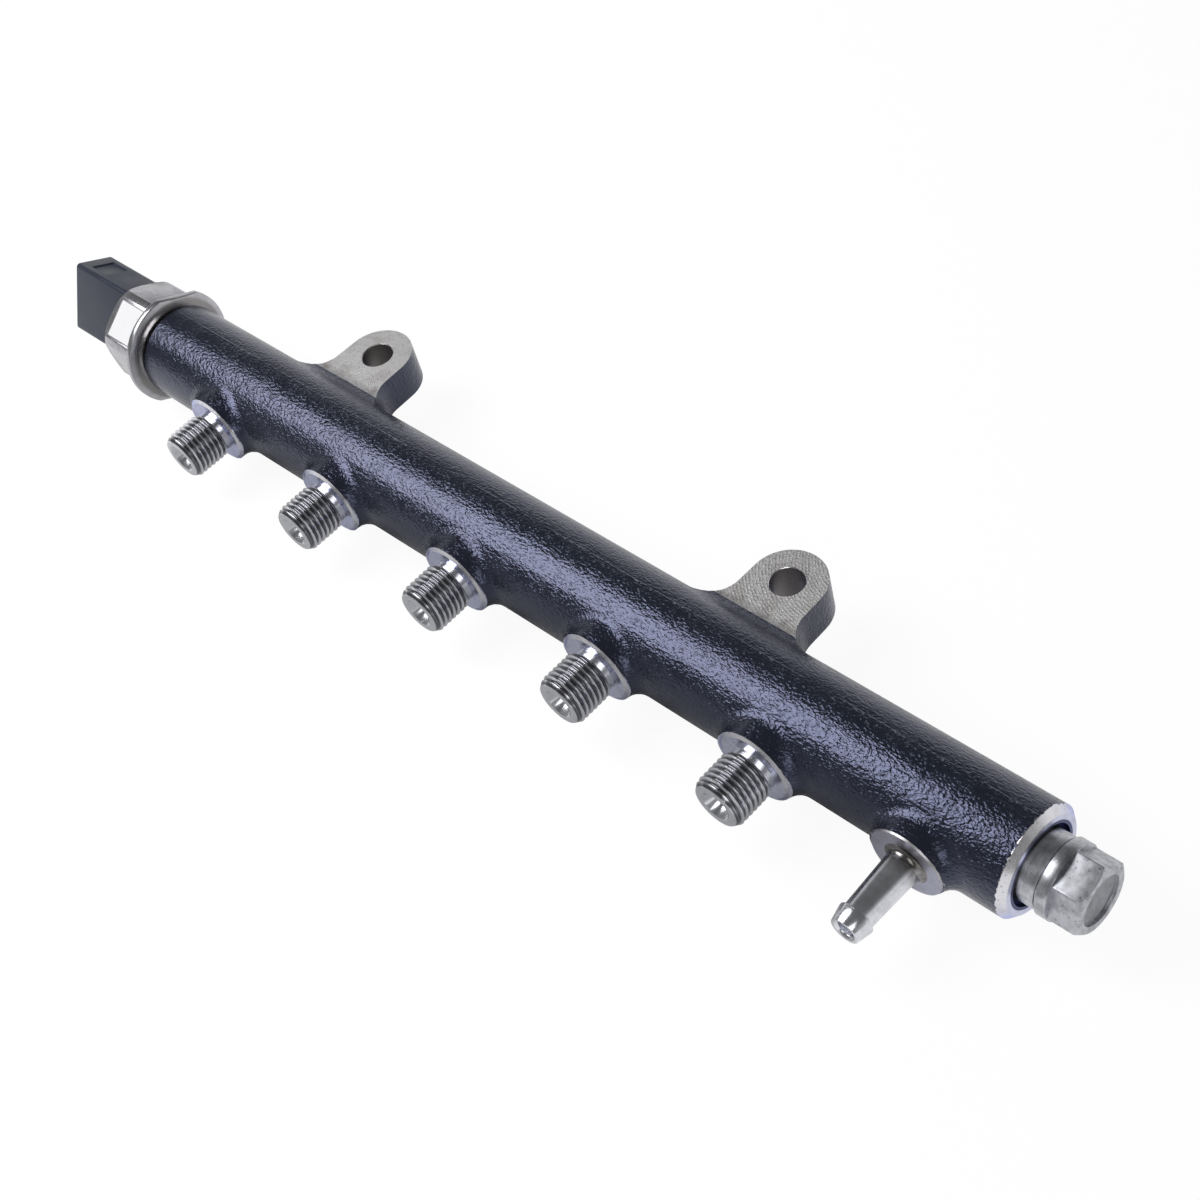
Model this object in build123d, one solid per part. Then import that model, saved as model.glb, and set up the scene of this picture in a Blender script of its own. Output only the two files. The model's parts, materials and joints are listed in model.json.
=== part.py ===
from build123d import *
import math
import os

# Common-rail fuel rail. Millimetres, Z up.
# X runs along the rail from the pressure sensor to the pressure-limiting valve. The origin lies on
# the rail axis under the middle outlet. The outlets point to -Y, the bolt lugs stand to +Y and
# their holes run along Z. An angle round the rail is counted from +Y towards +Z.

# Rail tube
tube_r = 13.9
left_length = 137.4
right_length = 167.4
main_bore_r = 5.0
left_chamfer = 0.8
right_chamfer = 1.6

# Outlets: forged bosses with threaded stubs
outlet_count = 5
outlet_pitch = 50.4
boss_r = 10.4
boss_fillet = 4.5
outlet_face = 16.4
face_ring_r = 9.4
face_chamfer_depth = 0.5
stub_r = 7.0
stub_tip = 29.4
stub_tip_r = 5.9
stub_chamfer = 1.75
undercut_r = 6.1
undercut_width = 1.6
seal_cone_r = 4.2
seal_cone_angle = 60
outlet_drill_r = 1.5

# Pressed-in throttle sleeves of the outlets
restrictor_r = 2.0
restrictor_length = 6.0
restrictor_sink = 0.6
restrictor_orifice_r = 0.45
restrictor_mouth_r = 1.3
press_clearance = 0.01

# Bolt lugs
lug_spacing = 151.2
lug_hole_y = 26.7
lug_hole_r = 4.5
lug_hole_chamfer = 0.2
lug_end_r = 10.1
lug_root_half = 10.6
lug_top = 6.0
lug_bottom = -5.0
lug_fillet = 7.7

# Return nipple and its boss
nipple_from_end = 23.3
nipple_boss_r = 9.6
nipple_boss_fillet = 4.0
blend_clearance = 0.5
nipple_face = 16.3
nipple_spigot_r = 3.2
nipple_spigot_length = 4.6
nipple_root_r = 4.3
nipple_root_fillet = 1.5
nipple_neck_r = 3.75
nipple_barb_x = 32.6
nipple_barb_r = 4.45
nipple_barb_edge = 0.25
nipple_tip = 37.0
nipple_tip_r = 3.6
nipple_bore_r = 2.2
nipple_mouth_r = 2.8
nipple_mouth_depth = 0.6
return_drill_r = 1.6

# Threads of both ends, drawn at their major size, with the play between the two threads
end_thread_r = 9.0
thread_play = 0.05
thread_mouth = 0.9
thread_run_out = 1.2
thread_neck = 0.8

# Pressure-limiting valve
valve_counterbore_r = 10.12
valve_counterbore_depth = 2.0
valve_seat_depth = 28.9
valve_chamber_r = 7.6
valve_chamber_length = 16.3
valve_nose_r = 6.4
valve_nose_length = 10.5
valve_land_clearance = 0.08
valve_groove_from_nose = 1.6
valve_groove_width = 2.3
valve_groove_r = 6.0
valve_neck_r = 8.85
valve_neck_out = 4.0
valve_ring_groove = 0.6
valve_ring_groove_r = 8.4
valve_collar_r = 9.4
valve_collar_length = 2.8
valve_hex_length = 7.5
valve_hex_flats = 16.0
valve_hex_corner_r = 9.18
valve_hex_turn = 14
valve_end_r = 7.85
valve_end_chamfer = 0.9
valve_dimple_r = 6.2
valve_dimple_depth = 0.9
valve_bore_end = 5.0

# Valve insides
seat_insert_r = 4.6
seat_insert_length = 5.5
seat_inlet_r = 2.4
seat_inlet_depth = 3.0
seat_nozzle_r = 0.8
seat_cone_r = 2.6
seat_cone_angle = 60
piston_r = 3.5
piston_running_clearance = 0.03
piston_cone_gap = 0.05
piston_tip_r = 0.5
piston_neck_r = 2.2
piston_guide_start = 6.0
piston_guide_length = 6.5
piston_flat = 2.9
piston_spigot_r = 1.7
piston_spigot_length = 3.0
cross_hole_r = 0.9
cross_hole_from_seat = 2.6
shim_thickness = 1.2
shim_clearance = 0.1
spring_wire_r = 0.55
spring_mean_r = 2.55
spring_coils = 6
seal_ring_wire_r = 0.77
seal_ring_play = 0.02

# Pressure sensor
sensor_gap = 1.2
sensor_seat_depth = 15.5
sensor_shoulder_r = 14.6
sensor_shoulder_length = 0.9
sensor_disc_r = 17.2
sensor_disc_thickness = 1.7
sensor_disc_flat = 15.9
sensor_disc_flat_angle = 65
sensor_hex_flats = 27.0
sensor_hex_corner_r = 15.0
sensor_hex_length = 15.5
sensor_hex_turn = 35
sensor_end_r = 13.5
sensor_end_chamfer = 1.4
sensor_tip_r = 6.5
sensor_tip_cone = 2.2
sensor_inlet_r = 0.9
sensor_floor = 3.0
sensor_cavity_r = 11.6
sensor_lip_r = 10.9
sensor_lip_thickness = 1.0

# Sensor insides
element_r = 4.0
element_bore_r = 1.6
element_height = 4.5
membrane_thickness = 0.6
support_clearance = 0.1
support_inner_r = 6.0
support_height = 4.8
support_rim_height = 1.8
support_rim = 0.9
board_thickness = 1.0
board_clearance = 0.1
board_hole_r = 2.5
contact_pin_r = 0.5
contact_pin_head_r = 0.8
contact_pin_head = 0.4

# Plug connector
connector_turn = -26.8
connector_y = 0.98
connector_z = 0.45
connector_width = 12.86
connector_height = 21.26
connector_corner = 1.2
connector_gap = 0.3
connector_length = 27.5
connector_neck_clearance = 0.1
connector_end_edge = 0.4
socket_wall = 1.45
socket_depth = 15.0
socket_corner = 0.8
socket_key_width = 1.6
socket_key_height = 0.8
latch_width = 7.6
latch_length = 7.5
latch_depth = 0.4
latch_from_end = 4.5
flange_groove_depth = 1.6
flange_groove_width = 2.0
flange_clearance = 0.1
terminal_count = 3
terminal_pitch = 5.0
terminal_thickness = 0.8
terminal_width = 2.2
terminal_reach = 9.5

# Places along X worked out from the sizes above
rail_left = -left_length
rail_right = right_length
nipple_x = rail_right - nipple_from_end
sensor_seat_x = rail_left + sensor_seat_depth
sensor_shoulder_x = rail_left - sensor_gap
sensor_disc_x = sensor_shoulder_x - sensor_shoulder_length
sensor_hex_x = sensor_disc_x - sensor_disc_thickness
sensor_end_x = sensor_hex_x - sensor_hex_length
sensor_floor_x = sensor_hex_x - sensor_floor
sensor_lip_x = sensor_end_x + sensor_lip_thickness
board_x = sensor_floor_x - support_height
flange_x = board_x - board_thickness - support_rim_height
connector_x = sensor_end_x - connector_gap
connector_end_x = connector_x - connector_length
socket_floor_x = connector_end_x + socket_depth
valve_seat_x = rail_right - valve_seat_depth
valve_chamber_x = valve_seat_x + valve_chamber_length
valve_nose_x = valve_seat_x + valve_nose_length
valve_ring_x = rail_right + valve_neck_out
valve_collar_x = valve_ring_x + valve_ring_groove
valve_hex_x = valve_collar_x + valve_collar_length
valve_end_x = valve_hex_x + valve_hex_length
valve_bore_x = valve_end_x - valve_bore_end - valve_hex_length
seat_face_x = valve_seat_x + seat_insert_length
piston_guide_x = seat_face_x + piston_guide_start
piston_back_x = piston_guide_x + piston_guide_length
shim_x = valve_bore_x - shim_thickness

outlet_xs = [(i - (outlet_count - 1) / 2) * outlet_pitch for i in range(outlet_count)]
lug_xs = [-lug_spacing / 2, lug_spacing / 2]
end_bore_r = end_thread_r + thread_play
end_stem_r = end_thread_r - thread_play

# The blend of the nipple's boss ends before the blend of the outlet beside it
boss_land = nipple_x - outlet_xs[-1] - boss_r - nipple_boss_r
nipple_blend = min(nipple_boss_fillet, boss_land - boss_fillet - blend_clearance)


def turned(points):
    """Solid turned about the X axis from (x, radius) corner points."""
    return revolve(make_face(Polyline(*points, close=True)), Axis.X)


def rod(x0, x1, r):
    """Cylinder along X."""
    return turned([(x0, 0), (x1, 0), (x1, r), (x0, r)])


def tube(x0, x1, inner, outer):
    """Hollow cylinder along X."""
    return turned([(x0, inner), (x1, inner), (x1, outer), (x0, outer)])


def sideways(shape, x):
    """Turn a shape made along +X so that it leaves the rail towards -Y at the place x."""
    return Pos(x, 0, 0) * Rot(0, 0, -90) * shape


def hex_bar(x0, x1, flats, turn):
    """Hexagonal bar along X with one corner at the angle turn."""
    profile = Plane.YZ * RegularPolygon(flats / 2, 6, major_radius=False, rotation=turn)
    return Pos(x0, 0, 0) * extrude(profile, x1 - x0)


def one_solid(shape):
    """The single solid of a finished piece."""
    solids = shape.solids()
    assert len(solids) == 1, len(solids)
    return solids[0]


# Rail body

def lies_on_tube(edge):
    """True for an edge that runs on the tube's round surface."""
    places = [edge.position_at(t) for t in (0.1, 0.5, 0.9)]
    return all(abs(math.hypot(p.Y, p.Z) - tube_r) < 0.01 for p in places)


def edges_near(shape, x, reach, side):
    """Edges on the tube's surface round a boss or lug at x, on the +Y or -Y side."""
    found = []
    for edge in shape.edges():
        middle = edge.center()
        if abs(middle.X - x) < reach and middle.Y * side > 0 and lies_on_tube(edge):
            found.append(edge)
    return found


def tube_blank():
    """Solid tube with its end chamfers."""
    blank = turned([
        (rail_left, 0),
        (rail_right, 0),
        (rail_right, tube_r - right_chamfer),
        (rail_right - right_chamfer, tube_r),
        (rail_left + left_chamfer, tube_r),
        (rail_left, tube_r - left_chamfer),
    ])
    return Rot(-90, 0, 0) * blank


def lug_blank(x):
    """Lug with a round end and sides that widen towards the tube."""
    outline = Polyline(
        (lug_end_r, lug_hole_y), (lug_root_half, 0), (-lug_root_half, 0), (-lug_end_r, lug_hole_y)
    )
    end = ThreePointArc(
        (-lug_end_r, lug_hole_y), (0, lug_hole_y + lug_end_r), (lug_end_r, lug_hole_y)
    )
    plate = extrude(make_face([outline, end]), lug_top - lug_bottom)
    return Pos(x, 0, lug_bottom) * plate


def forging():
    """Tube, bosses and lugs in one piece, with the blends of the die."""
    body = tube_blank()
    boss_top = outlet_face + boss_fillet
    for x in outlet_xs:
        body += sideways(rod(0, boss_top, boss_r), x)
    body += sideways(rod(0, nipple_face + nipple_blend, nipple_boss_r), nipple_x)
    for x in lug_xs:
        body += lug_blank(x)
    for x in outlet_xs:
        body = fillet(edges_near(body, x, boss_r + 1, -1), boss_fillet)
    body = fillet(edges_near(body, nipple_x, nipple_boss_r + 1, -1), nipple_blend)
    for x in lug_xs:
        body = fillet(edges_near(body, x, lug_root_half + 1, 1), lug_fillet)
    return body


def face_cutter(face, flat_r, rim_r, top):
    """Facing tool of a boss: flat ring, then a chamfer out to the rim."""
    reach = rim_r + boss_fillet
    low = face - face_chamfer_depth
    return turned([(face, 0), (face, flat_r), (low, rim_r), (low, reach), (top, reach), (top, 0)])


def outlet_stub():
    """Threaded stub from the boss face to its chamfered tip, at the thread's major size."""
    undercut_end = outlet_face + undercut_width
    return turned([
        (tube_r, 0),
        (stub_tip, 0),
        (stub_tip, stub_tip_r),
        (stub_tip - stub_chamfer, stub_r),
        (undercut_end + stub_r - undercut_r, stub_r),
        (undercut_end, undercut_r),
        (tube_r, undercut_r),
    ])


def seal_cone_depth(r):
    """Depth below the stub tip at which the sealing cone has the radius r."""
    return (seal_cone_r - r) / math.tan(math.radians(seal_cone_angle / 2))


restrictor_top = stub_tip - seal_cone_depth(restrictor_r) - restrictor_sink
restrictor_bottom = restrictor_top - restrictor_length


def outlet_drilling():
    """Sealing cone, sleeve pocket and cross-drilling of one outlet."""
    return turned([
        (0, 0),
        (stub_tip, 0),
        (stub_tip, seal_cone_r),
        (stub_tip - seal_cone_depth(restrictor_r), restrictor_r),
        (restrictor_bottom, restrictor_r),
        (restrictor_bottom, outlet_drill_r),
        (0, outlet_drill_r),
    ])


def nipple_drilling():
    """Seat of the return nipple and its way into the valve chamber."""
    spigot_end = nipple_face - nipple_spigot_length
    return turned([
        (0, 0),
        (nipple_face, 0),
        (nipple_face, nipple_spigot_r),
        (spigot_end, nipple_spigot_r),
        (spigot_end, return_drill_r),
        (0, return_drill_r),
    ])


def main_drilling():
    """Main bore with the sensor thread at the left and the valve seat and thread at the right."""
    counterbore_x = rail_right - valve_counterbore_depth
    return turned([
        (rail_left, 0),
        (rail_right, 0),
        (rail_right, valve_counterbore_r),
        (counterbore_x, valve_counterbore_r),
        (counterbore_x, end_bore_r),
        (valve_chamber_x, end_bore_r),
        (valve_chamber_x, valve_chamber_r),
        (valve_seat_x, valve_chamber_r),
        (valve_seat_x, main_bore_r),
        (sensor_seat_x, main_bore_r),
        (sensor_seat_x, end_bore_r),
        (rail_left + thread_mouth, end_bore_r),
        (rail_left, end_bore_r + thread_mouth),
    ])


def lug_drilling(x):
    """Bolt hole of a lug, chamfered at both faces."""
    reach = lug_hole_r + lug_hole_chamfer
    hole = turned([
        (lug_bottom, 0),
        (lug_top, 0),
        (lug_top, reach),
        (lug_top - lug_hole_chamfer, lug_hole_r),
        (lug_bottom + lug_hole_chamfer, lug_hole_r),
        (lug_bottom, reach),
    ])
    return Pos(x, lug_hole_y, 0) * Rot(0, -90, 0) * hole


def make_rail_body():
    body = forging()
    outlet_tool = face_cutter(outlet_face, face_ring_r, boss_r, stub_tip)
    nipple_flat_r = nipple_boss_r - face_chamfer_depth / 2
    nipple_tool = face_cutter(nipple_face, nipple_flat_r, nipple_boss_r, nipple_tip)
    for x in outlet_xs:
        body -= sideways(outlet_tool, x)
        body += sideways(outlet_stub(), x)
    body -= sideways(nipple_tool, nipple_x)
    body -= main_drilling()
    for x in outlet_xs:
        body -= sideways(outlet_drilling(), x)
    body -= sideways(nipple_drilling(), nipple_x)
    for x in lug_xs:
        body -= lug_drilling(x)
    return one_solid(body)


def make_port_restrictors():
    """Throttle sleeves, one in each outlet."""
    r = restrictor_r - press_clearance
    mouth = restrictor_mouth_r - restrictor_orifice_r
    sleeve = turned([
        (restrictor_bottom, restrictor_orifice_r),
        (restrictor_top - mouth, restrictor_orifice_r),
        (restrictor_top, restrictor_mouth_r),
        (restrictor_top, r),
        (restrictor_bottom, r),
    ])
    return [one_solid(sideways(sleeve, x)) for x in outlet_xs]


def make_return_nipple():
    """Barbed tube with a brazed root fillet on the boss face."""
    root_end = nipple_face + nipple_root_fillet
    root_r = nipple_root_r + nipple_root_fillet
    spigot_end = nipple_face - nipple_spigot_length
    spigot_r = nipple_spigot_r - press_clearance
    arc_half = nipple_root_fillet * (1 - math.sqrt(0.5))
    flare = ThreePointArc(
        (root_end, nipple_root_r),
        (nipple_face + arc_half, nipple_root_r + arc_half),
        (nipple_face, root_r),
    )
    barb_base = nipple_barb_x + nipple_barb_edge
    outside = Polyline(
        (nipple_face, root_r),
        (nipple_face, spigot_r),
        (spigot_end, spigot_r),
        (spigot_end, nipple_bore_r),
        (nipple_tip - nipple_mouth_depth, nipple_bore_r),
        (nipple_tip, nipple_mouth_r),
        (nipple_tip, nipple_tip_r),
        (barb_base + nipple_barb_edge, nipple_barb_r),
        (barb_base, nipple_barb_r),
        (nipple_barb_x, nipple_neck_r),
        (root_end, nipple_root_r),
    )
    return one_solid(sideways(revolve(make_face([flare, outside]), Axis.X), nipple_x))


# Pressure-limiting valve

def make_valve_body():
    """Turned body: nose, sealing land, thread, neck, collar and hexagon head."""
    land_r = valve_chamber_r - valve_land_clearance
    groove_x = valve_nose_x + valve_groove_from_nose
    groove_end = groove_x + valve_groove_width
    thread_x = valve_chamber_x + thread_neck
    thread_end = rail_right - valve_counterbore_depth - thread_neck
    body = turned([
        (valve_seat_x, 0),
        (valve_seat_x, valve_nose_r),
        (valve_nose_x, valve_nose_r),
        (valve_nose_x, land_r),
        (groove_x, land_r),
        (groove_x, valve_groove_r),
        (groove_end, valve_groove_r),
        (groove_end, land_r),
        (thread_x, land_r),
        (thread_x + thread_run_out, end_stem_r),
        (thread_end, end_stem_r),
        (thread_end, valve_neck_r),
        (valve_ring_x, valve_neck_r),
        (valve_ring_x, valve_ring_groove_r),
        (valve_collar_x, valve_ring_groove_r),
        (valve_collar_x, valve_collar_r),
        (valve_hex_x, valve_collar_r),
        (valve_hex_x, 0),
    ])
    body += hex_head()
    body -= end_dimple()
    body -= rod(valve_seat_x, seat_face_x, seat_insert_r)
    body -= rod(seat_face_x, valve_bore_x, piston_r)
    cross_x = seat_face_x + cross_hole_from_seat
    for turn in (0, 90):
        body -= Pos(cross_x, 0, 0) * Rot(turn, 0, 0) * Cylinder(cross_hole_r, 2 * valve_nose_r + 1)
    return one_solid(body)


def hex_head():
    """Hexagon with turned corners and a chamfered end."""
    bar = hex_bar(valve_hex_x, valve_end_x, valve_hex_flats, valve_hex_turn)
    envelope = turned([
        (valve_hex_x, 0),
        (valve_end_x, 0),
        (valve_end_x, valve_end_r),
        (valve_end_x - valve_end_chamfer, valve_hex_corner_r),
        (valve_hex_x, valve_hex_corner_r),
    ])
    return bar & envelope


def end_dimple():
    """Round shallow recess in the head's end face."""
    return rod(valve_end_x - valve_dimple_depth, valve_end_x, valve_dimple_r)


def seat_cone_depth(r):
    """Depth of the seat cone at the radius r, from its mouth."""
    return (seat_cone_r - r) / math.tan(math.radians(seat_cone_angle / 2))


def make_valve_seat():
    """Nozzle insert pressed into the nose, with its cone towards the piston."""
    r = seat_insert_r - press_clearance
    return one_solid(turned([
        (valve_seat_x, seat_inlet_r),
        (valve_seat_x + seat_inlet_depth - seat_inlet_r + seat_nozzle_r, seat_inlet_r),
        (valve_seat_x + seat_inlet_depth, seat_nozzle_r),
        (seat_face_x - seat_cone_depth(seat_nozzle_r), seat_nozzle_r),
        (seat_face_x, seat_cone_r),
        (seat_face_x, r),
        (valve_seat_x, r),
    ]))


def make_valve_piston():
    """Cone, neck and guide with three flats that let the fuel pass."""
    r = piston_r - piston_running_clearance
    cone_top = seat_face_x + piston_cone_gap - seat_cone_depth(piston_neck_r)
    cone_tip = seat_face_x + piston_cone_gap - seat_cone_depth(piston_tip_r)
    piston = turned([
        (cone_tip, 0),
        (cone_tip, piston_tip_r),
        (cone_top, piston_neck_r),
        (piston_guide_x, piston_neck_r),
        (piston_guide_x, r),
        (piston_back_x, r),
        (piston_back_x, piston_spigot_r),
        (piston_back_x + piston_spigot_length, piston_spigot_r),
        (piston_back_x + piston_spigot_length, 0),
    ])
    flat_cut = Box(piston_guide_length, piston_r, 2 * piston_r)
    flat_x = (piston_guide_x + piston_back_x) / 2
    for k in range(3):
        piston -= Rot(120 * k, 0, 0) * Pos(flat_x, piston_flat + piston_r / 2, 0) * flat_cut
    return one_solid(piston)


def make_spring_shim():
    return one_solid(rod(shim_x, valve_bore_x, piston_r - shim_clearance))


def make_valve_spring():
    """Coil spring with ground ends between piston and shim."""
    length = shim_x - piston_back_x
    pitch = length / spring_coils
    path = Helix(pitch, length + 2 * spring_wire_r, spring_mean_r)
    section = Plane(origin=path @ 0, z_dir=path % 0) * Circle(spring_wire_r)
    coil = Pos(piston_back_x - spring_wire_r, 0, 0) * Rot(0, 90, 0) * sweep(section, path, is_frenet=True)
    return one_solid(coil & rod(piston_back_x, shim_x, piston_r))


def make_valve_seal_ring():
    groove_x = valve_nose_x + valve_groove_from_nose
    middle = groove_x + valve_groove_width / 2
    ring_r = valve_groove_r + seal_ring_wire_r + seal_ring_play
    return one_solid(Pos(middle, 0, 0) * Rot(0, 90, 0) * Torus(ring_r, seal_ring_wire_r))


# Pressure sensor

def make_sensor_housing():
    """Threaded stem, shoulder disc with two flats, and hexagon cup with a crimped rim."""
    stem_end = sensor_seat_x - sensor_tip_cone
    head = turned([
        (sensor_hex_x, 0),
        (sensor_hex_x, sensor_disc_r),
        (sensor_disc_x, sensor_disc_r),
        (sensor_shoulder_x, sensor_shoulder_r),
        (sensor_shoulder_x, 0),
    ])
    for turn in (sensor_disc_flat_angle, sensor_disc_flat_angle + 180):
        span = 2 * sensor_disc_r
        block = Box(span, sensor_disc_r, span)
        head -= Rot(turn, 0, 0) * Pos(sensor_disc_x, sensor_disc_flat + sensor_disc_r / 2, 0) * block
    body = head + sensor_cup() + turned([
        (sensor_shoulder_x, 0),
        (sensor_shoulder_x, end_stem_r),
        (stem_end, end_stem_r),
        (sensor_seat_x, sensor_tip_r),
        (sensor_seat_x, 0),
    ])
    body -= rod(sensor_floor_x, sensor_seat_x, sensor_inlet_r)
    body -= rod(sensor_lip_x, sensor_floor_x, sensor_cavity_r)
    body -= rod(sensor_end_x, sensor_lip_x, sensor_lip_r)
    return one_solid(body)


def sensor_cup():
    """Hexagon with turned corners and a chamfered rim."""
    bar = hex_bar(sensor_end_x, sensor_hex_x, sensor_hex_flats, sensor_hex_turn)
    envelope = turned([
        (sensor_hex_x, 0),
        (sensor_hex_x, sensor_hex_corner_r),
        (sensor_end_x + sensor_end_chamfer, sensor_hex_corner_r),
        (sensor_end_x, sensor_end_r),
        (sensor_end_x, 0),
    ])
    return bar & envelope


def make_sensor_element():
    """Steel cap whose thin end bends with the fuel pressure."""
    cap = rod(sensor_floor_x - element_height, sensor_floor_x, element_r)
    hollow = rod(sensor_floor_x - element_height + membrane_thickness, sensor_floor_x, element_bore_r)
    return one_solid(cap - hollow)


def support_outer_r():
    return sensor_cavity_r - support_clearance


def make_board_support():
    """Stepped plastic ring that holds the board off the floor and carries the connector flange."""
    rim_inner = support_outer_r() - support_rim
    return one_solid(turned([
        (sensor_floor_x, support_inner_r),
        (board_x, support_inner_r),
        (board_x, rim_inner),
        (flange_x, rim_inner),
        (flange_x, support_outer_r()),
        (sensor_floor_x, support_outer_r()),
    ]))


def make_sensor_board():
    board_r = support_outer_r() - support_rim - board_clearance
    return one_solid(tube(board_x - board_thickness, board_x, board_hole_r, board_r))


def connector_place(x, width_offset, height_offset):
    """Place in the turned section of the connector, counted from its centre."""
    centre = Pos(x, connector_y, connector_z) * Rot(connector_turn, 0, 0)
    return centre * Pos(0, width_offset, height_offset)


def terminal_offsets():
    return [(i - (terminal_count - 1) / 2) * terminal_pitch for i in range(terminal_count)]


def terminal_blade(offset):
    """Flat blade from the flange's inner face into the socket."""
    end_x = socket_floor_x - terminal_reach
    blade = Box(flange_x - end_x, terminal_thickness, terminal_width)
    return connector_place((flange_x + end_x) / 2, 0, offset) * blade


def make_terminals():
    return [one_solid(terminal_blade(offset)) for offset in terminal_offsets()]


def make_contact_pins():
    """Headed pins that carry the signal from the board to the blades."""
    board_face = board_x - board_thickness
    pin = turned([
        (flange_x, 0),
        (board_face, 0),
        (board_face, contact_pin_head_r),
        (board_face - contact_pin_head, contact_pin_head_r),
        (board_face - contact_pin_head, contact_pin_r),
        (flange_x, contact_pin_r),
    ])
    return [one_solid(connector_place(0, 0, offset) * pin) for offset in terminal_offsets()]


def flange_r():
    return sensor_cavity_r - flange_clearance


def flange_groove_x():
    """Middle of the seal groove in the flange."""
    return (flange_x + sensor_lip_x) / 2


def connector_flange():
    """Round flange clamped under the crimped rim, with its seal groove and neck."""
    low = flange_groove_x() - flange_groove_width / 2
    high = flange_groove_x() + flange_groove_width / 2
    groove_r = flange_r() - flange_groove_depth
    neck_r = sensor_lip_r - connector_neck_clearance
    return turned([
        (flange_x, 0),
        (flange_x, flange_r()),
        (high, flange_r()),
        (high, groove_r),
        (low, groove_r),
        (low, flange_r()),
        (sensor_lip_x, flange_r()),
        (sensor_lip_x, neck_r),
        (connector_x, neck_r),
        (connector_x, 0),
    ])


def section_block(x0, x1, width, height, corner):
    """Rounded rectangular block along X in the connector's turned section."""
    profile = Plane.YZ * RectangleRounded(width, height, corner)
    return connector_place(x0, 0, 0) * extrude(profile, x1 - x0)


def make_connector_shell():
    """Plug housing with a keyed socket, a latch pocket and its clamped flange."""
    shell = section_block(
        connector_end_x, connector_x, connector_width, connector_height, connector_corner
    )
    shell = fillet(shell.faces().sort_by(Axis.X)[0].edges(), connector_end_edge)
    inner_width = connector_width - 2 * socket_wall
    inner_height = connector_height - 2 * socket_wall
    shell -= section_block(connector_end_x, socket_floor_x, inner_width, inner_height, socket_corner)
    key = Box(socket_depth, socket_key_height, socket_key_width)
    key_x = (connector_end_x + socket_floor_x) / 2 + connector_end_edge
    for side in (-1, 1):
        key_place = (inner_width - socket_key_height) / 2
        shell += connector_place(key_x, -key_place, side * inner_height / 4) * key
    latch_x = connector_end_x + latch_from_end + latch_length / 2
    latch = Box(latch_length, latch_width, 2 * latch_depth)
    shell -= connector_place(latch_x, 0, connector_height / 2) * latch
    shell += connector_flange()
    for offset in terminal_offsets():
        shell -= terminal_blade(offset)
    return one_solid(shell)


def make_connector_seal():
    wire_r = flange_groove_depth / 2 + flange_clearance / 2 - seal_ring_play
    ring_r = sensor_cavity_r - seal_ring_play - wire_r
    return one_solid(Pos(flange_groove_x(), 0, 0) * Rot(0, 90, 0) * Torus(ring_r, wire_r))


def save(name, shape):
    """Write one named piece, or one group of like pieces."""
    if isinstance(shape, list):
        shape = Compound(children=shape)
    export_step(shape, os.path.join("parts", name + ".step"))


def main():
    os.makedirs("parts", exist_ok=True)
    save("rail_body", make_rail_body())
    save("port_restrictors", make_port_restrictors())
    save("return_nipple", make_return_nipple())
    save("valve_body", make_valve_body())
    save("valve_seat", make_valve_seat())
    save("valve_piston", make_valve_piston())
    save("valve_spring", make_valve_spring())
    save("spring_shim", make_spring_shim())
    save("valve_seal_ring", make_valve_seal_ring())
    save("sensor_housing", make_sensor_housing())
    save("sensor_element", make_sensor_element())
    save("board_support", make_board_support())
    save("sensor_board", make_sensor_board())
    save("connector_shell", make_connector_shell())
    save("connector_seal", make_connector_seal())
    for number, pin in enumerate(make_contact_pins(), 1):
        save(f"contact_pin_{number}", pin)
    for number, blade in enumerate(make_terminals(), 1):
        save(f"terminal_{number}", blade)


main()
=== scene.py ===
import json
import math

import bmesh
import bpy
from bpy.props import FloatProperty, FloatVectorProperty, IntProperty, PointerProperty
from mathutils import Matrix, Vector
from mathutils.kdtree import KDTree


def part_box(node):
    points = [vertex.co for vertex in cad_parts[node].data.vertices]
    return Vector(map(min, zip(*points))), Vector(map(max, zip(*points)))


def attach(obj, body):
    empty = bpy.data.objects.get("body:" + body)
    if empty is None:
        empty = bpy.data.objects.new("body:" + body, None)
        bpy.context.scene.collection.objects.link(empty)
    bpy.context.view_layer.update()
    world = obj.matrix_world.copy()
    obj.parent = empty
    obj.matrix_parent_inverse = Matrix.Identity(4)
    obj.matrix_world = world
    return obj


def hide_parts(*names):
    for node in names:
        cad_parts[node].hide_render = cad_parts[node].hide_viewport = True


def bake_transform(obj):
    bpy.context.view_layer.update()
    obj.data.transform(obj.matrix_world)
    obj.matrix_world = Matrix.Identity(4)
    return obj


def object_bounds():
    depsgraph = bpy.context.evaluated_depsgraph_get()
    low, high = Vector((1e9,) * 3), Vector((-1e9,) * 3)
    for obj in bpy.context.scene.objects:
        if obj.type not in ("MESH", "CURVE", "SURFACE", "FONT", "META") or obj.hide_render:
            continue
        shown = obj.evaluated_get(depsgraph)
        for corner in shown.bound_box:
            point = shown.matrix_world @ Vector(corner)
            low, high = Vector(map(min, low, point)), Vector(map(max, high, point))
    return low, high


bl_info = {
    "name": "Fuel Rail",
    "version": (1, 0, 0),
    "blender": (4, 5, 0),
    "location": "3D View > Sidebar > Fuel Rail",
    "description": "Dresses a forged common-rail fuel rail and its studio",
    "category": "Object",
}

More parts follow.
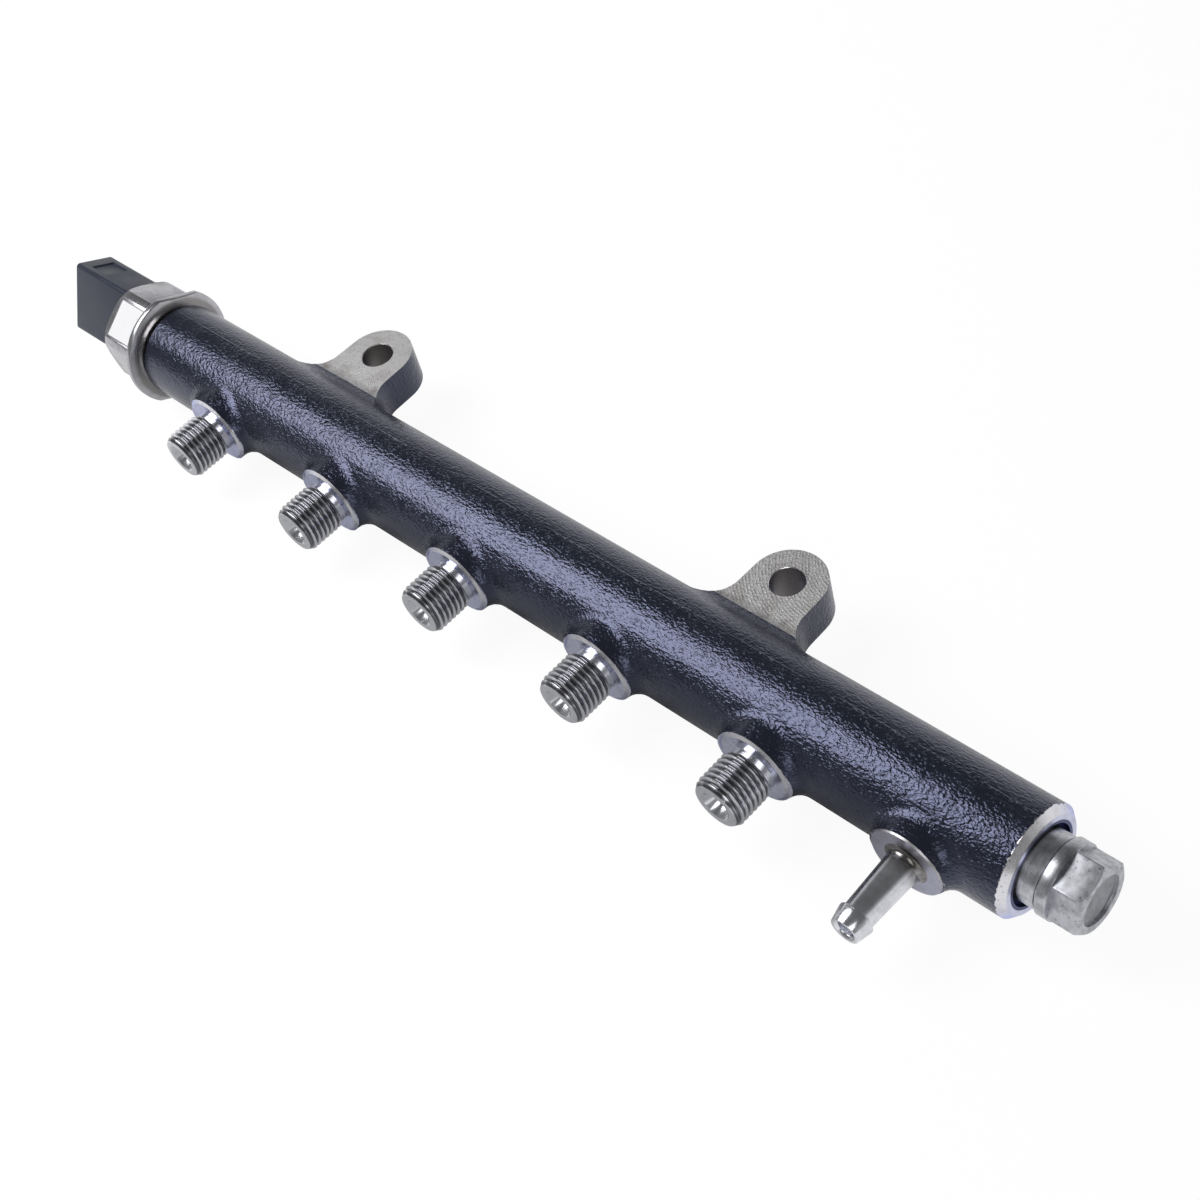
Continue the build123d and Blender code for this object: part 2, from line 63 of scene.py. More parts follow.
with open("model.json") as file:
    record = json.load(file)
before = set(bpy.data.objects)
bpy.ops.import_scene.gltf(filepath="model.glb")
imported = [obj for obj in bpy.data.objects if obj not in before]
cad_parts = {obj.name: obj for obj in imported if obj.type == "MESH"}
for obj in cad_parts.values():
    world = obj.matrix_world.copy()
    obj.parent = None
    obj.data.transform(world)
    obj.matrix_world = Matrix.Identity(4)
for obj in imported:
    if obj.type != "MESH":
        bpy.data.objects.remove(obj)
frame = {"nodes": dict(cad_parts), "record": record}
CAD_BOX = [list(corner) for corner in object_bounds()]
MM = 0.001
MOUNTS = {mount["name"]: mount for mount in frame["record"]["mounts"]}


def node_box(node):
    """Lowest and highest corner of a CAD node at rest."""
    low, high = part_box(node)
    return Vector(low), Vector(high)


RAIL_LOW, RAIL_HIGH = node_box("rail_body")
VALVE_LOW, VALVE_HIGH = node_box("valve_body")
NIPPLE_LOW, NIPPLE_HIGH = node_box("return_nipple")
SENSOR_LOW, SENSOR_HIGH = node_box("sensor_housing")
PLUG_LOW = node_box("connector_shell")[0]
OUTLETS = [mount for name, mount in sorted(MOUNTS.items()) if name.startswith("outlet_")]
OUTLET_XS = [mount["pos_m"][0] for mount in OUTLETS]
OUTLET_PITCH = OUTLET_XS[1] - OUTLET_XS[0]
NIPPLE_X = (NIPPLE_LOW.x + NIPPLE_HIGH.x) / 2
LUG_HOLE_Y = MOUNTS["lug_holes"]["pos_m"][1]
LUG_X = MOUNTS["lug_holes"]["dims"]["spacing_x_mm"] * MM / 2
LUG_TOP = MOUNTS["lug_upper_face"]["pos_m"][2]
STUB_R = OUTLETS[0]["dims"]["r_mm"] * MM
BOSS_FACE_Y = RAIL_LOW.y + 13.0 * MM
THROAT_R = 10.9 * MM
VALVE_HEX_X = VALVE_HIGH.x - 7.5 * MM
SENSOR_HEX_X = SENSOR_LOW.x + 15.5 * MM
SENSOR_FLOOR_X = SENSOR_HEX_X - 3.0 * MM
CUP_FLAT = 13.5 * MM
LABEL_TURN = math.radians(125)
LABEL_END = SENSOR_LOW.x + 15.1 * MM
PLUG_TURN = math.radians(-26.8)
SEAM_TURN = math.radians(78.5)
SEAM_HALF = math.radians(1.3)

X_AXIS = Vector((1, 0, 0))
OUTWARDS = Vector((0, -1, 0))
WELD_PACKED = 2e-7
WELD_THREAD = 1e-7


# Settings


def length_setting(name, description, default, low, high):
    """Length, given in millimetres."""
    return FloatProperty(name=name, description=description, default=default * MM, min=low * MM,
                         max=high * MM, precision=5, unit="LENGTH")


def colour_setting(name, description, *default):
    """Opaque colour."""
    return FloatVectorProperty(name=name, description=description, subtype="COLOR", size=4,
                               default=(*default, 1), min=0, max=1)


def angle_setting(name, description, degrees):
    """Angle, given in degrees."""
    return FloatProperty(name=name, description=description, subtype="ANGLE",
                         default=math.radians(degrees))


def level_setting(name, description, default, low=0, high=2):
    """Plain number."""
    return FloatProperty(name=name, description=description, default=default, min=low, max=high)


class RailShape(bpy.types.PropertyGroup):
    thread_pitch: length_setting("Thread Pitch", "Distance between two crests of the outlet thread",
                                 1.5, 0.5, 3)
    thread_depth: length_setting("Thread Depth", "Depth of the thread's groove below its crest",
                                 0.86, 0.1, 1.5)
    edge_round: length_setting("Edge Round", "Width of the broken edges on turned steel",
                               0.14, 0.02, 0.5)
    label_length: length_setting("Label Length", "Length of the sensor's label along the rail",
                                 13.0, 2, 14)
    label_width: length_setting("Label Width", "Width of the sensor's label across its flat",
                                11.6, 2, 13)
    turn_steps: IntProperty(
        name="Turning Steps", description="Faces round each turned piece", default=96, min=24, max=192)


class RailFinish(bpy.types.PropertyGroup):
    coat: colour_setting("Coat", "Black coat of the forging", 0.0095, 0.011, 0.019)
    steel: colour_setting("Steel", "Bare machined steel", 0.8, 0.8, 0.83)
    stain: colour_setting("Stain", "Brown heat and oil stain on bare steel", 0.3, 0.25, 0.2)
    plastic: colour_setting("Plug Plastic", "Black plastic of the plug housing", 0.016, 0.019, 0.033)
    label: colour_setting("Label", "White plate on the sensor", 0.84, 0.84, 0.86)
    pit_size: length_setting("Pit Size", "Spacing of the small pits in the forging's skin", 0.7, 0.1, 5)
    skin_depth: length_setting("Skin Depth", "Depth of the swells and pits in the forging's skin",
                               0.24, 0, 1)


class RailStudio(bpy.types.PropertyGroup):
    camera_place: FloatVectorProperty(
        name="Camera Place", description="Where the camera stands", subtype="TRANSLATION",
        unit="LENGTH", default=(0.31954, -0.18114, 0.36999))
    azimuth: angle_setting("Azimuth", "Camera's angle round the vertical", 57.4)
    elevation: angle_setting("Elevation", "Camera's angle above the floor", 47.75)
    roll: angle_setting("Roll", "Camera's turn about its own line of sight", -18.18)
    lens: level_setting("Lens", "Focal length in millimetres on a 36 mm sensor", 60.957, 10, 300)
    softbox: level_setting("Softbox", "Power of the overhead softbox in watts", 5.0, high=100)
    side: level_setting("Side Lamp", "Power of the lamp beside the camera in watts", 1.0, high=100)
    back: level_setting("Back", "Brightness of the studio behind the rail at floor height", 0.92)
    front: level_setting("Front", "Brightness of the studio in front of the rail at floor height", 0.28)
    zenith: level_setting("Zenith", "Brightness of the studio's ceiling", 0.13)


# Mesh helpers


def mode(kind):
    """Switch the active object's mode."""
    bpy.ops.object.mode_set(mode=kind)


def select_all(action="SELECT"):
    """Select, or deselect, the whole mesh in edit mode."""
    bpy.ops.mesh.select_all(action=action)


def edit_all():
    """Enter edit mode with all selected."""
    mode("EDIT")
    select_all()


def apply_transform(location=True, rotation=True):
    """Move the object's scale, and its place and turn, into its mesh."""
    bpy.ops.object.transform_apply(location=location, rotation=rotation, scale=True)


def deselect_all():
    """Leave edit mode and select nothing."""
    if bpy.context.object and bpy.context.object.mode != "OBJECT":
        mode("OBJECT")
    bpy.ops.object.select_all(action="DESELECT")


def make_active(piece):
    """Select one object alone."""
    deselect_all()
    bpy.context.view_layer.objects.active = piece
    piece.select_set(True)


def named(name):
    """The new active object under its own name."""
    piece = bpy.context.object
    piece.name = name
    piece.data.name = name
    return piece


def add_object(name, data):
    """New object with the given data, in the scene."""
    piece = bpy.data.objects.new(name, data)
    bpy.context.collection.objects.link(piece)
    return piece


def copy_of_node(node, name):
    """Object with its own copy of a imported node's mesh, welded."""
    piece = add_object(name, frame["nodes"][node].data.copy())
    weld(piece, WELD_PACKED)
    return piece


def apply_modifier(piece, kind, **settings):
    """Add a modifier, set it and apply it."""
    make_active(piece)
    modifier = piece.modifiers.new(kind.title(), kind)
    for key, value in settings.items():
        setattr(modifier, key, value)
    bpy.ops.object.modifier_apply(modifier=modifier.name)


def select_edges(piece, wanted):
    """In edit mode, select the edges for which wanted(edge) is true."""
    mesh = bmesh.from_edit_mesh(piece.data)
    select_all("DESELECT")
    bpy.ops.mesh.select_mode(type="EDGE")
    for edge in mesh.edges:
        edge.select_set(wanted(edge))
    mesh.select_flush_mode()
    bmesh.update_edit_mesh(piece.data)


def bevel_edges(piece, wanted, width, segments):
    """Round the edges for which wanted(edge) is true."""
    mode("EDIT")
    select_edges(piece, wanted)
    bpy.ops.mesh.bevel(offset=width, segments=segments, profile=0.5, affect="EDGES")
    mode("OBJECT")


def runs_along(edge):
    """True for an edge that runs along X."""
    return abs((edge.verts[0].co - edge.verts[1].co).normalized().x) > 0.9


def weld(piece, distance=1e-6):
    """Merge doubled points and turn all faces outwards."""
    make_active(piece)
    edit_all()
    bpy.ops.mesh.remove_doubles(threshold=distance)
    bpy.ops.mesh.delete_loose(use_verts=True, use_edges=True, use_faces=False)
    select_all()
    bpy.ops.mesh.normals_make_consistent(inside=False)
    mode("OBJECT")


def soften(piece, degrees=28):
    """Smooth shading that keeps the sharp edges."""
    make_active(piece)
    bpy.ops.object.shade_smooth_by_angle(angle=math.radians(degrees))


def round_edges(piece, width, degrees=25, segments=2):
    """Break the sharp edges of a clean mesh and keep its flats flat."""
    apply_modifier(piece, "BEVEL", width=width, segments=segments, limit_method="ANGLE",
                   angle_limit=math.radians(degrees), harden_normals=False)


def draw_outline(name, points):
    """Closed outline of edges through the given places, left in edit mode and all selected."""
    deselect_all()
    bpy.ops.mesh.primitive_plane_add(size=MM, location=points[0])
    piece = named(name)
    apply_transform()
    mode("EDIT")
    bpy.ops.mesh.select_mode(type="VERT")
    select_all()
    bpy.ops.mesh.merge(type="CENTER")
    for start, end in zip(points, points[1:] + points[:1]):
        bpy.ops.mesh.extrude_vertices_move(TRANSFORM_OT_translate={"value": end - start})
    select_all()
    return piece


def from_mm(start, points):
    """Profile points in metres; each is millimetres along from start, and a radius."""
    return [(start + along * MM, radius * MM) for along, radius in points]


def turn_profile(name, profile, steps, centre=Vector(), along=X_AXIS):
    """Spin a closed profile of (distance along, radius) points about the line through centre."""
    side = Vector((0, 0, 1))
    piece = draw_outline(name, [centre + along * distance + side * radius for distance, radius in profile])
    bpy.ops.mesh.spin(steps=steps, angle=math.tau, center=centre, axis=along)
    weld(piece)
    return piece


def cut_flats(piece, distance, turns, **edges):
    """Cut flats along X at a distance from it, at degrees from +Y to +Z, and round their edges."""
    make_active(piece)
    mode("EDIT")
    for turn in turns:
        normal = Vector((0, math.cos(math.radians(turn)), math.sin(math.radians(turn))))
        select_all()
        bpy.ops.mesh.bisect(plane_co=normal * distance, plane_no=normal, use_fill=True, clear_outer=True)
    mode("OBJECT")
    weld(piece)
    round_edges(piece, **edges)


def hexagon(turn):
    """Degrees of the six flats of a hexagon with a corner at the given turn."""
    return [turn + 30 + 60 * k for k in range(6)]


def add_block(name, size, place=(0, 0, 0)):
    """Rectangular block."""
    deselect_all()
    bpy.ops.mesh.primitive_cube_add(size=1, location=place)
    block = named(name)
    block.scale = size
    apply_transform(rotation=False)
    return block


def join_pieces(pieces, name):
    """Join several shells into one piece."""
    deselect_all()
    for piece in pieces:
        piece.select_set(True)
    bpy.context.view_layer.objects.active = pieces[0]
    bpy.ops.object.join()
    return named(name)


def boolean(piece, tool, operation="DIFFERENCE"):
    """Cut or join a piece with a tool, and delete the tool."""
    apply_modifier(piece, "BOOLEAN", object=tool, operation=operation, solver="EXACT")
    bpy.data.objects.remove(tool, do_unlink=True)


def copy_beside(piece, name, offset):
    """Copy of a finished piece with its own mesh, moved in its mesh."""
    make_active(piece)
    bpy.ops.object.duplicate(linked=False)
    twin = named(name)
    twin.location = offset
    apply_transform()
    return twin


def from_columns(*columns):
    """Matrix of three axes and a place."""
    return Matrix([*zip(*columns), (0, 0, 0, 1)])


def put_in_place(piece, matrix):
    """Move a piece and keep the move in its mesh."""
    piece.matrix_world = matrix
    make_active(piece)
    apply_transform()


def set_material(piece, material):
    """Give a piece one material in place of all it had."""
    piece.data.materials.clear()
    piece.data.materials.append(material)


def hand_over(piece, body, slot, material, *nodes):
    """Give a finished piece its material and its body, and hide the nodes it stands for."""
    set_material(piece, material)
    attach(piece, body)
    if nodes:
        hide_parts(*nodes)


# Node helpers


def grey(level):
    """Opaque grey."""
    return (level, level, level, 1)


class Tree:
    """Adds and joins the nodes of one node tree."""

    def __init__(self, tree):
        self.nodes = tree.nodes
        self.links = tree.links

    def feed(self, socket, value):
        if isinstance(value, bpy.types.NodeSocket):
            self.links.new(value, socket)
        else:
            socket.default_value = value

    def add(self, kind, inputs=None, **settings):
        node = self.nodes.new(kind)
        for key, value in settings.items():
            setattr(node, key, value)
        for key, value in (inputs or {}).items():
            self.feed(node.inputs[key], value)
        return node

    def math(self, operation, *values):
        node = self.add("ShaderNodeMath", operation=operation)
        for socket, value in zip(node.inputs, values):
            self.feed(socket, value)
        return node.outputs[0]

    def fold(self, operation, values):
        """One operation over several numbers, from the first to the last."""
        result = values[0]
        for value in values[1:]:
            result = self.math(operation, result, value)
        return result

    def times(self, *values):
        return self.fold("MULTIPLY", values)

    def plus(self, *values):
        return self.fold("ADD", values)

    def largest(self, *values):
        return self.fold("MAXIMUM", values)

    def minus(self, first, second):
        return self.math("SUBTRACT", first, second)

    def above(self, value, limit):
        return self.math("GREATER_THAN", value, limit)

    def below(self, value, limit):
        return self.math("LESS_THAN", value, limit)

    def wrap(self, x, pitch):
        """Fold a row of like pieces, one of them at zero, onto that one."""
        shifted = self.math("ADD", x, 10.5 * pitch)
        return self.minus(self.math("FLOORED_MODULO", shifted, pitch), pitch / 2)

    def vector(self, operation, *values):
        node = self.add("ShaderNodeVectorMath", operation=operation)
        for socket, value in zip(node.inputs, values):
            self.feed(socket, value)
        return node.outputs[0]

    def number(self, operation, *values):
        """Length or dot product of vectors."""
        return self.vector(operation, *values).node.outputs["Value"]

    def scale(self, vector, factor):
        node = self.add("ShaderNodeVectorMath", operation="SCALE")
        self.feed(node.inputs[0], vector)
        self.feed(node.inputs["Scale"], factor)
        return node.outputs[0]

    def shrink(self, vector, size):
        """Vector counted in units of a size."""
        return self.scale(vector, self.math("DIVIDE", 1.0, size))

    def combine(self, x, y, z=0.0):
        return self.add("ShaderNodeCombineXYZ", {"X": x, "Y": y, "Z": z}).outputs[0]

    def from_axis(self, vector):
        """Distance from the X axis."""
        return self.number("LENGTH", self.vector("MULTIPLY", vector, (0, 1, 1)))

    def span(self, value, low, high, to_low=0.0, to_high=1.0, smooth=False):
        """Map low..high to to_low..to_high, clamped."""
        kind = "SMOOTHSTEP" if smooth else "LINEAR"
        return self.add("ShaderNodeMapRange", {
            "Value": value, "From Min": low, "From Max": high, "To Min": to_low, "To Max": to_high,
        }, interpolation_type=kind).outputs[0]

    def blend(self, factor, first, second):
        """Mix two numbers."""
        return self.add("ShaderNodeMix", {0: factor, 2: first, 3: second}, data_type="FLOAT").outputs[0]

    def tint(self, factor, first, second):
        """Mix two colours."""
        return self.add("ShaderNodeMix", {0: factor, 6: first, 7: second}, data_type="RGBA").outputs[2]

    def noise(self, vector, scale=1.0, detail=2.0, **inputs):
        return self.add("ShaderNodeTexNoise", {
            "Vector": vector, "Scale": scale, "Detail": detail, **inputs}).outputs

    def cells(self, vector, scale=1.0):
        """Distance to the nearest of scattered points."""
        return self.add("ShaderNodeTexVoronoi", {"Vector": vector, "Scale": scale}).outputs["Distance"]

    def group(self, name, inputs):
        return self.add("ShaderNodeGroup", inputs, node_tree=bpy.data.node_groups[name]).outputs

    def patches(self, vector, size, low, high):
        return self.group("patches", {"Vector": vector, "Size": size, "Low": low, "High": high})[0]

    def nicks(self, vector, spacing, reach):
        return self.group("nicks", {"Vector": vector, "Spacing": spacing, "Reach": reach})[0]

    def arcs(self, vector, x, y, step):
        """Milling arcs round a centre at x, y."""
        return self.group("milling_arcs", {"Vector": vector, "Centre": (x, y, 0), "Feed": step})[0]

    def place(self):
        """Object coordinates."""
        return self.add("ShaderNodeTexCoord").outputs["Object"]

    def parts(self, vector):
        """The three numbers of a vector."""
        return self.add("ShaderNodeSeparateXYZ", {"Vector": vector}).outputs

    def dress(self, shader, colour=None, gloss=None, height=None):
        """Lead a colour, a roughness and a height of the surface to a shader."""
        if colour:
            self.feed(shader.inputs["Base Color"], colour)
        if gloss:
            self.feed(shader.inputs["Roughness"], gloss)
        if height:
            bump = self.add("ShaderNodeBump", {"Strength": 1.0, "Distance": 1.0, "Height": height})
            self.feed(shader.inputs["Normal"], bump.outputs[0])


# Shared effects


def new_group(name, inputs, outputs):
    """Empty node group with its sockets: name to default, and names of numbers put out."""
    group = bpy.data.node_groups.new(name, "ShaderNodeTree")
    for label, default in {"Vector": None, **inputs}.items():
        kind = "NodeSocketFloat" if isinstance(default, float) else "NodeSocketVector"
        socket = group.interface.new_socket(label, in_out="INPUT", socket_type=kind)
        if default is not None:
            socket.default_value = default
    for label in outputs:
        group.interface.new_socket(label, in_out="OUTPUT", socket_type="NodeSocketFloat")
    given = group.nodes.new("NodeGroupInput").outputs
    result = group.nodes.new("NodeGroupOutput").inputs
    return Tree(group), given, result


def make_skin_group():
    """Skin of a forging: shallow swells with small ragged pits, drawn out along the rail, and rare dots for
    painted highlights.
    """
    tree, given, result = new_group(
        "forged_skin", {"Size": MM, "Stretch": 1.8, "Pitting": 1.0}, ["Height", "Glints"])
    squeeze = tree.combine(tree.math("DIVIDE", 1.0, given["Stretch"]), 1.0, 1.0)
    drawn = tree.vector("MULTIPLY", given["Vector"], squeeze)
    scaled = tree.shrink(drawn, given["Size"])
    warp = tree.noise(scaled, 1.3)["Color"]
    bent = tree.vector("ADD", scaled, tree.scale(warp, 0.8))
    holes = tree.span(tree.cells(bent), 0.5, 0.16, smooth=True)
    crowd = tree.noise(scaled, 0.3)[0]
    pits = tree.times(holes, tree.span(crowd, 0.3, 0.5, 0.35, 1.0))
    swell = tree.noise(scaled, 0.3, 1.0)[0]
    grain = tree.noise(bent, 1.0, 1.4)[0]
    rough = tree.minus(tree.times(grain, 0.85), tree.times(pits, 0.2))
    tree.feed(result["Height"], tree.plus(tree.times(swell, 0.5), tree.times(rough, given["Pitting"])))
    # Painted highlights: rare small dots that stand for glints on the skin.
    tree.feed(result["Glints"], tree.span(tree.cells(bent, 0.1), 0.03, 0.02))


def make_turning_group():
    """Fine rings that a lathe leaves round an axis, on its cylinders and on its faces."""
    tree, given, result = new_group(
        "turning_marks", {"Axis Point": (0, 0, 0), "Axis": (1, 0, 0), "Spacing": 0.1 * MM},
        ["Along", "Radius", "Marks"])
    offset = tree.vector("SUBTRACT", given["Vector"], given["Axis Point"])
    along = tree.number("DOT_PRODUCT", offset, given["Axis"])
    shadow = tree.scale(given["Axis"], along)
    radius = tree.number("LENGTH", tree.vector("SUBTRACT", offset, shadow))
    lines = tree.shrink(tree.combine(along, radius), given["Spacing"])
    noise = tree.add("ShaderNodeTexNoise", {"Vector": lines, "Scale": 1.0, "Detail": 3.0},
                     noise_dimensions="2D")
    tree.feed(result["Along"], along)
    tree.feed(result["Radius"], radius)
    tree.feed(result["Marks"], noise.outputs[0])


def make_cloud_group():
    """Soft patches between a low and a high limit of noise."""
    tree, given, result = new_group("patches", {"Size": 5 * MM, "Low": 0.45, "High": 0.65}, ["Mask"])
    scaled = tree.shrink(given["Vector"], given["Size"])
    noise = tree.noise(scaled, 1.0, 4.0, Roughness=0.6)[0]
    tree.feed(result["Mask"], tree.span(noise, given["Low"], given["High"]))


def make_nick_group():
    """Small pits and dings, few and scattered."""
    tree, given, result = new_group("nicks", {"Spacing": 2 * MM, "Reach": 0.12}, ["Mask"])
    scaled = tree.shrink(given["Vector"], given["Spacing"])
    ragged = tree.noise(scaled, 4.0)["Color"]
    bent = tree.vector("ADD", scaled, tree.scale(ragged, 0.25))
    deep = tree.times(given["Reach"], 0.5)
    tree.feed(result["Mask"], tree.span(tree.cells(bent), given["Reach"], deep))


def make_milling_group():
    """Crossing arcs that a face mill leaves on a flat, round a centre in its plane."""
    tree, given, result = new_group("milling_arcs", {"Centre": (0, 0, 0), "Feed": 0.5 * MM}, ["Marks"])
    flat = tree.vector("MULTIPLY", given["Vector"], (1, 1, 0))
    radius = tree.number("LENGTH", tree.vector("SUBTRACT", flat, given["Centre"]))
    wobble = tree.noise(given["Vector"], 350.0)[0]
    shaken = tree.plus(radius, tree.times(wobble, 0.5 * MM))
    wave = tree.math("PINGPONG", tree.math("DIVIDE", shaken, given["Feed"]), 0.5)
    breaks = tree.noise(given["Vector"], 1400.0, 3.0)[0]
    tree.feed(result["Marks"], tree.times(wave, 2.0, tree.span(breaks, 0.35, 0.6)))


def build_groups():
    """All shared effects."""
    for make in (make_skin_group, make_turning_group, make_cloud_group, make_nick_group,
                 make_milling_group):
        make()


# Materials


def new_material(name, colour, **sockets):
    """Material with one Principled shader; returns it with its tree and shader."""
    material = bpy.data.materials.new(name)
    material.use_nodes = True
    material.diffuse_color = colour
    shader = material.node_tree.nodes["Principled BSDF"]
    shader.inputs["Base Color"].default_value = colour
    for key, value in sockets.items():
        shader.inputs[key.replace("_", " ")].default_value = value
    return material, Tree(material.node_tree), shader


def finish():
    """Settings of the finishes."""
    return bpy.context.scene.rail_finish


def ragged_shift(tree, vector):
    """Small signed length that makes the edge of the coat uneven."""
    return tree.times(tree.minus(tree.noise(vector, 900.0, 3.0)[0], 0.5), 1.5 * MM)


def lug_masks(tree, x, y, z):
    """Milled tops, spot-faced undersides and bolt holes of the lugs."""
    top = tree.times(tree.above(z, LUG_TOP - 0.03 * MM), tree.above(y, 14.5 * MM))
    seat = tree.times(tree.below(z, -LUG_TOP + 1.03 * MM), tree.above(y, 17.0 * MM))
    across = tree.minus(tree.math("ABSOLUTE", x), LUG_X)
    away = tree.number("LENGTH", tree.combine(across, tree.minus(y, LUG_HOLE_Y)))
    hole = tree.times(tree.below(away, 4.6 * MM), tree.below(z, LUG_TOP - 0.25 * MM))
    return top, tree.largest(seat, tree.below(away, 4.76 * MM)), hole


def end_mask(tree, vector, x, shift):
    """Turned end faces and the bores of the tube."""
    right = tree.above(tree.plus(x, shift), RAIL_HIGH.x - 1.72 * MM)
    left = tree.below(x, RAIL_LOW.x + 0.8 * MM)
    return tree.largest(right, left, tree.below(tree.from_axis(vector), 13.2 * MM))


def boss_local(tree, x, y, z):
    """Place seen from the axis of the nearest outlet, or of the nipple."""
    beside = tree.above(x, OUTLET_XS[-1] + OUTLET_PITCH / 2)
    local_x = tree.blend(beside, tree.wrap(x, OUTLET_PITCH), tree.minus(x, NIPPLE_X))
    return tree.combine(local_x, y, z), beside


def lug_arcs(tree, vector, x):
    """Milling arcs of both lugs, coarser on the right one."""
    fine = tree.arcs(vector, -LUG_X + 3 * MM, 13 * MM, 0.55 * MM)
    coarse = tree.arcs(vector, LUG_X + 13 * MM, 44 * MM, 0.8 * MM)
    crossed = tree.arcs(vector, LUG_X - 21 * MM, 48 * MM, 1.0 * MM)
    both = tree.largest(coarse, tree.times(crossed, 0.7))
    return tree.blend(tree.above(x, 0.0), tree.times(fine, 0.5), both)


def seam_line(tree, vector, y, z):
    """Height of the dressed parting line along the top of the tube."""
    off = tree.math("ABSOLUTE", tree.minus(tree.math("ARCTAN2", z, y), SEAM_TURN))
    ridge = tree.span(off, SEAM_HALF, 0.0, 0.0, 0.08 * MM, smooth=True)
    return tree.times(ridge, tree.patches(vector, 14 * MM, 0.35, 0.55))


def coat_layer(tree, vector, x, y, z):
    """Colour, roughness and height of the black coat."""
    colours = finish()
    pitting = tree.span(x, RAIL_LOW.x + 6 * MM, RAIL_LOW.x + 34 * MM, 0.45, 1.0)
    skin = tree.group("forged_skin", {"Vector": vector, "Size": colours.pit_size, "Stretch": 1.7,
                                      "Pitting": pitting})
    dust = tree.patches(vector, 9 * MM, 0.42, 0.66)
    colour = tree.tint(tree.times(dust, 0.5), colours.coat, (0.016, 0.018, 0.028, 1))
    # Painted highlights: the glint dots lighten the coat's colour.
    colour = tree.tint(skin["Glints"], colour, (0.25, 0.26, 0.3, 1))
    gloss = tree.span(dust, 0.0, 1.0, 0.13, 0.2)
    lumps = tree.times(skin["Height"], colours.skin_depth)
    return colour, gloss, tree.plus(lumps, seam_line(tree, vector, y, z), 0.06 * MM)


def steel_layer(tree, vector, x, y, z, bosses, lug_top, hole):
    """Colour, roughness and height of the machined faces."""
    colours = finish()
    local, beside_nipple = boss_local(tree, x, y, z)
    ends = tree.group("turning_marks", {"Vector": vector, "Spacing": 0.12 * MM})["Marks"]
    rings = tree.group("turning_marks", {"Vector": local, "Axis": OUTWARDS, "Spacing": 0.12 * MM})
    marks = tree.blend(bosses, ends, rings["Marks"])
    arcs = lug_arcs(tree, vector, x)
    stain = tree.patches(vector, 4 * MM, 0.48, 0.7)
    root = tree.times(lug_top, tree.span(y, 22 * MM, 15 * MM, 0.0, 0.75))
    # Painted shade: bare steel inside the throat radius at the valve end is darkened nearly black, standing
    # for the shadow in that recess, with some oil.
    throat_shade = tree.times(tree.below(tree.from_axis(vector), THROAT_R), tree.above(x, 0.0))
    dull = tree.times(beside_nipple, bosses, 0.6)
    colour = tree.tint(lug_top, colours.steel, (0.78, 0.77, 0.76, 1))
    for share, shade in (
            (tree.largest(tree.times(stain, 0.3), tree.times(stain, root)), colours.stain),
            (tree.times(tree.nicks(vector, 1.6 * MM, 0.16), 0.6), (0.12, 0.12, 0.13, 1)),
            (tree.times(arcs, lug_top, 0.85), (0.3, 0.3, 0.31, 1)),
            (dull, (0.24, 0.23, 0.23, 1)),
            (tree.times(hole, 0.85), (0.2, 0.18, 0.165, 1)),
            (tree.times(throat_shade, 0.9), (0.04, 0.04, 0.045, 1))):
        colour = tree.tint(share, colour, shade)
    gloss = tree.blend(lug_top, tree.span(marks, 0.3, 0.7, 0.16, 0.28), tree.span(arcs, 0.0, 1.0, 0.52, 0.68))
    gloss = tree.blend(tree.largest(hole, dull), gloss, 0.46)
    height = tree.blend(lug_top, tree.times(marks, 0.011 * MM), tree.times(arcs, 0.08 * MM))
    return colour, gloss, height


def make_forging_material():
    """Black coat over a forged skin, with bare machined faces."""
    material, tree, shader = new_material(
        "coated_forging", finish().coat, IOR=1.8, Specular_Tint=(0.62, 0.67, 1.0, 1))
    vector = tree.place()
    x, y, z = tree.parts(vector)
    shift = ragged_shift(tree, vector)
    bosses = tree.below(tree.plus(y, tree.times(shift, 0.25)), -15.84 * MM)
    lug_top, lug_rest, hole = lug_masks(tree, x, y, z)
    bare = tree.largest(bosses, lug_top, lug_rest, end_mask(tree, vector, x, shift))
    coat = coat_layer(tree, vector, x, y, z)
    steel = steel_layer(tree, vector, x, y, z, bosses, lug_top, hole)
    tree.feed(shader.inputs["Metallic"], bare)
    tree.dress(shader, tree.tint(bare, coat[0], steel[0]), tree.blend(bare, coat[1], steel[1]),
               tree.blend(bare, coat[2], steel[2]))
    return material


class TurnedSteel:
    """Bright turned steel with rings round its axis; repeat wraps X for a row of like pieces."""

    def __init__(self, name, axis, base, rough=(0.16, 0.3), axis_point=(0, 0, 0), repeat=None,
                 film_share=0.4):
        self.material, self.tree, self.shader = new_material(name, base, Metallic=1.0)
        tree = self.tree
        self.vector = local = tree.place()
        if repeat:
            x, y, z = tree.parts(self.vector)
            local = tree.combine(tree.wrap(x, repeat), y, z)
        turning = tree.group("turning_marks", {"Vector": local, "Axis Point": axis_point,
                                               "Axis": axis, "Spacing": 0.09 * MM})
        self.along, self.radius, self.marks = turning
        film = tree.patches(self.vector, 2.2 * MM, 0.4, 0.64)
        pits = tree.nicks(self.vector, 2.1 * MM, 0.09)
        darker = tuple(channel * 0.6 for channel in base[:3]) + (1,)
        self.colour = tree.tint(tree.times(film, film_share), base, darker)
        self.lay_stain_and_shade(tree.times(pits, 0.6), grey(0.1))
        tree.dress(self.shader, None, tree.span(self.marks, 0.3, 0.7, *rough),
                   tree.plus(tree.times(self.marks, 0.005 * MM), tree.times(pits, -0.01 * MM)))

    def lay_stain_and_shade(self, share, shade):
        """Lay one more colour over the colour: stains and wear, and in some places painted shade."""
        self.colour = self.tree.tint(share, self.colour, shade)
        self.tree.dress(self.shader, self.colour)


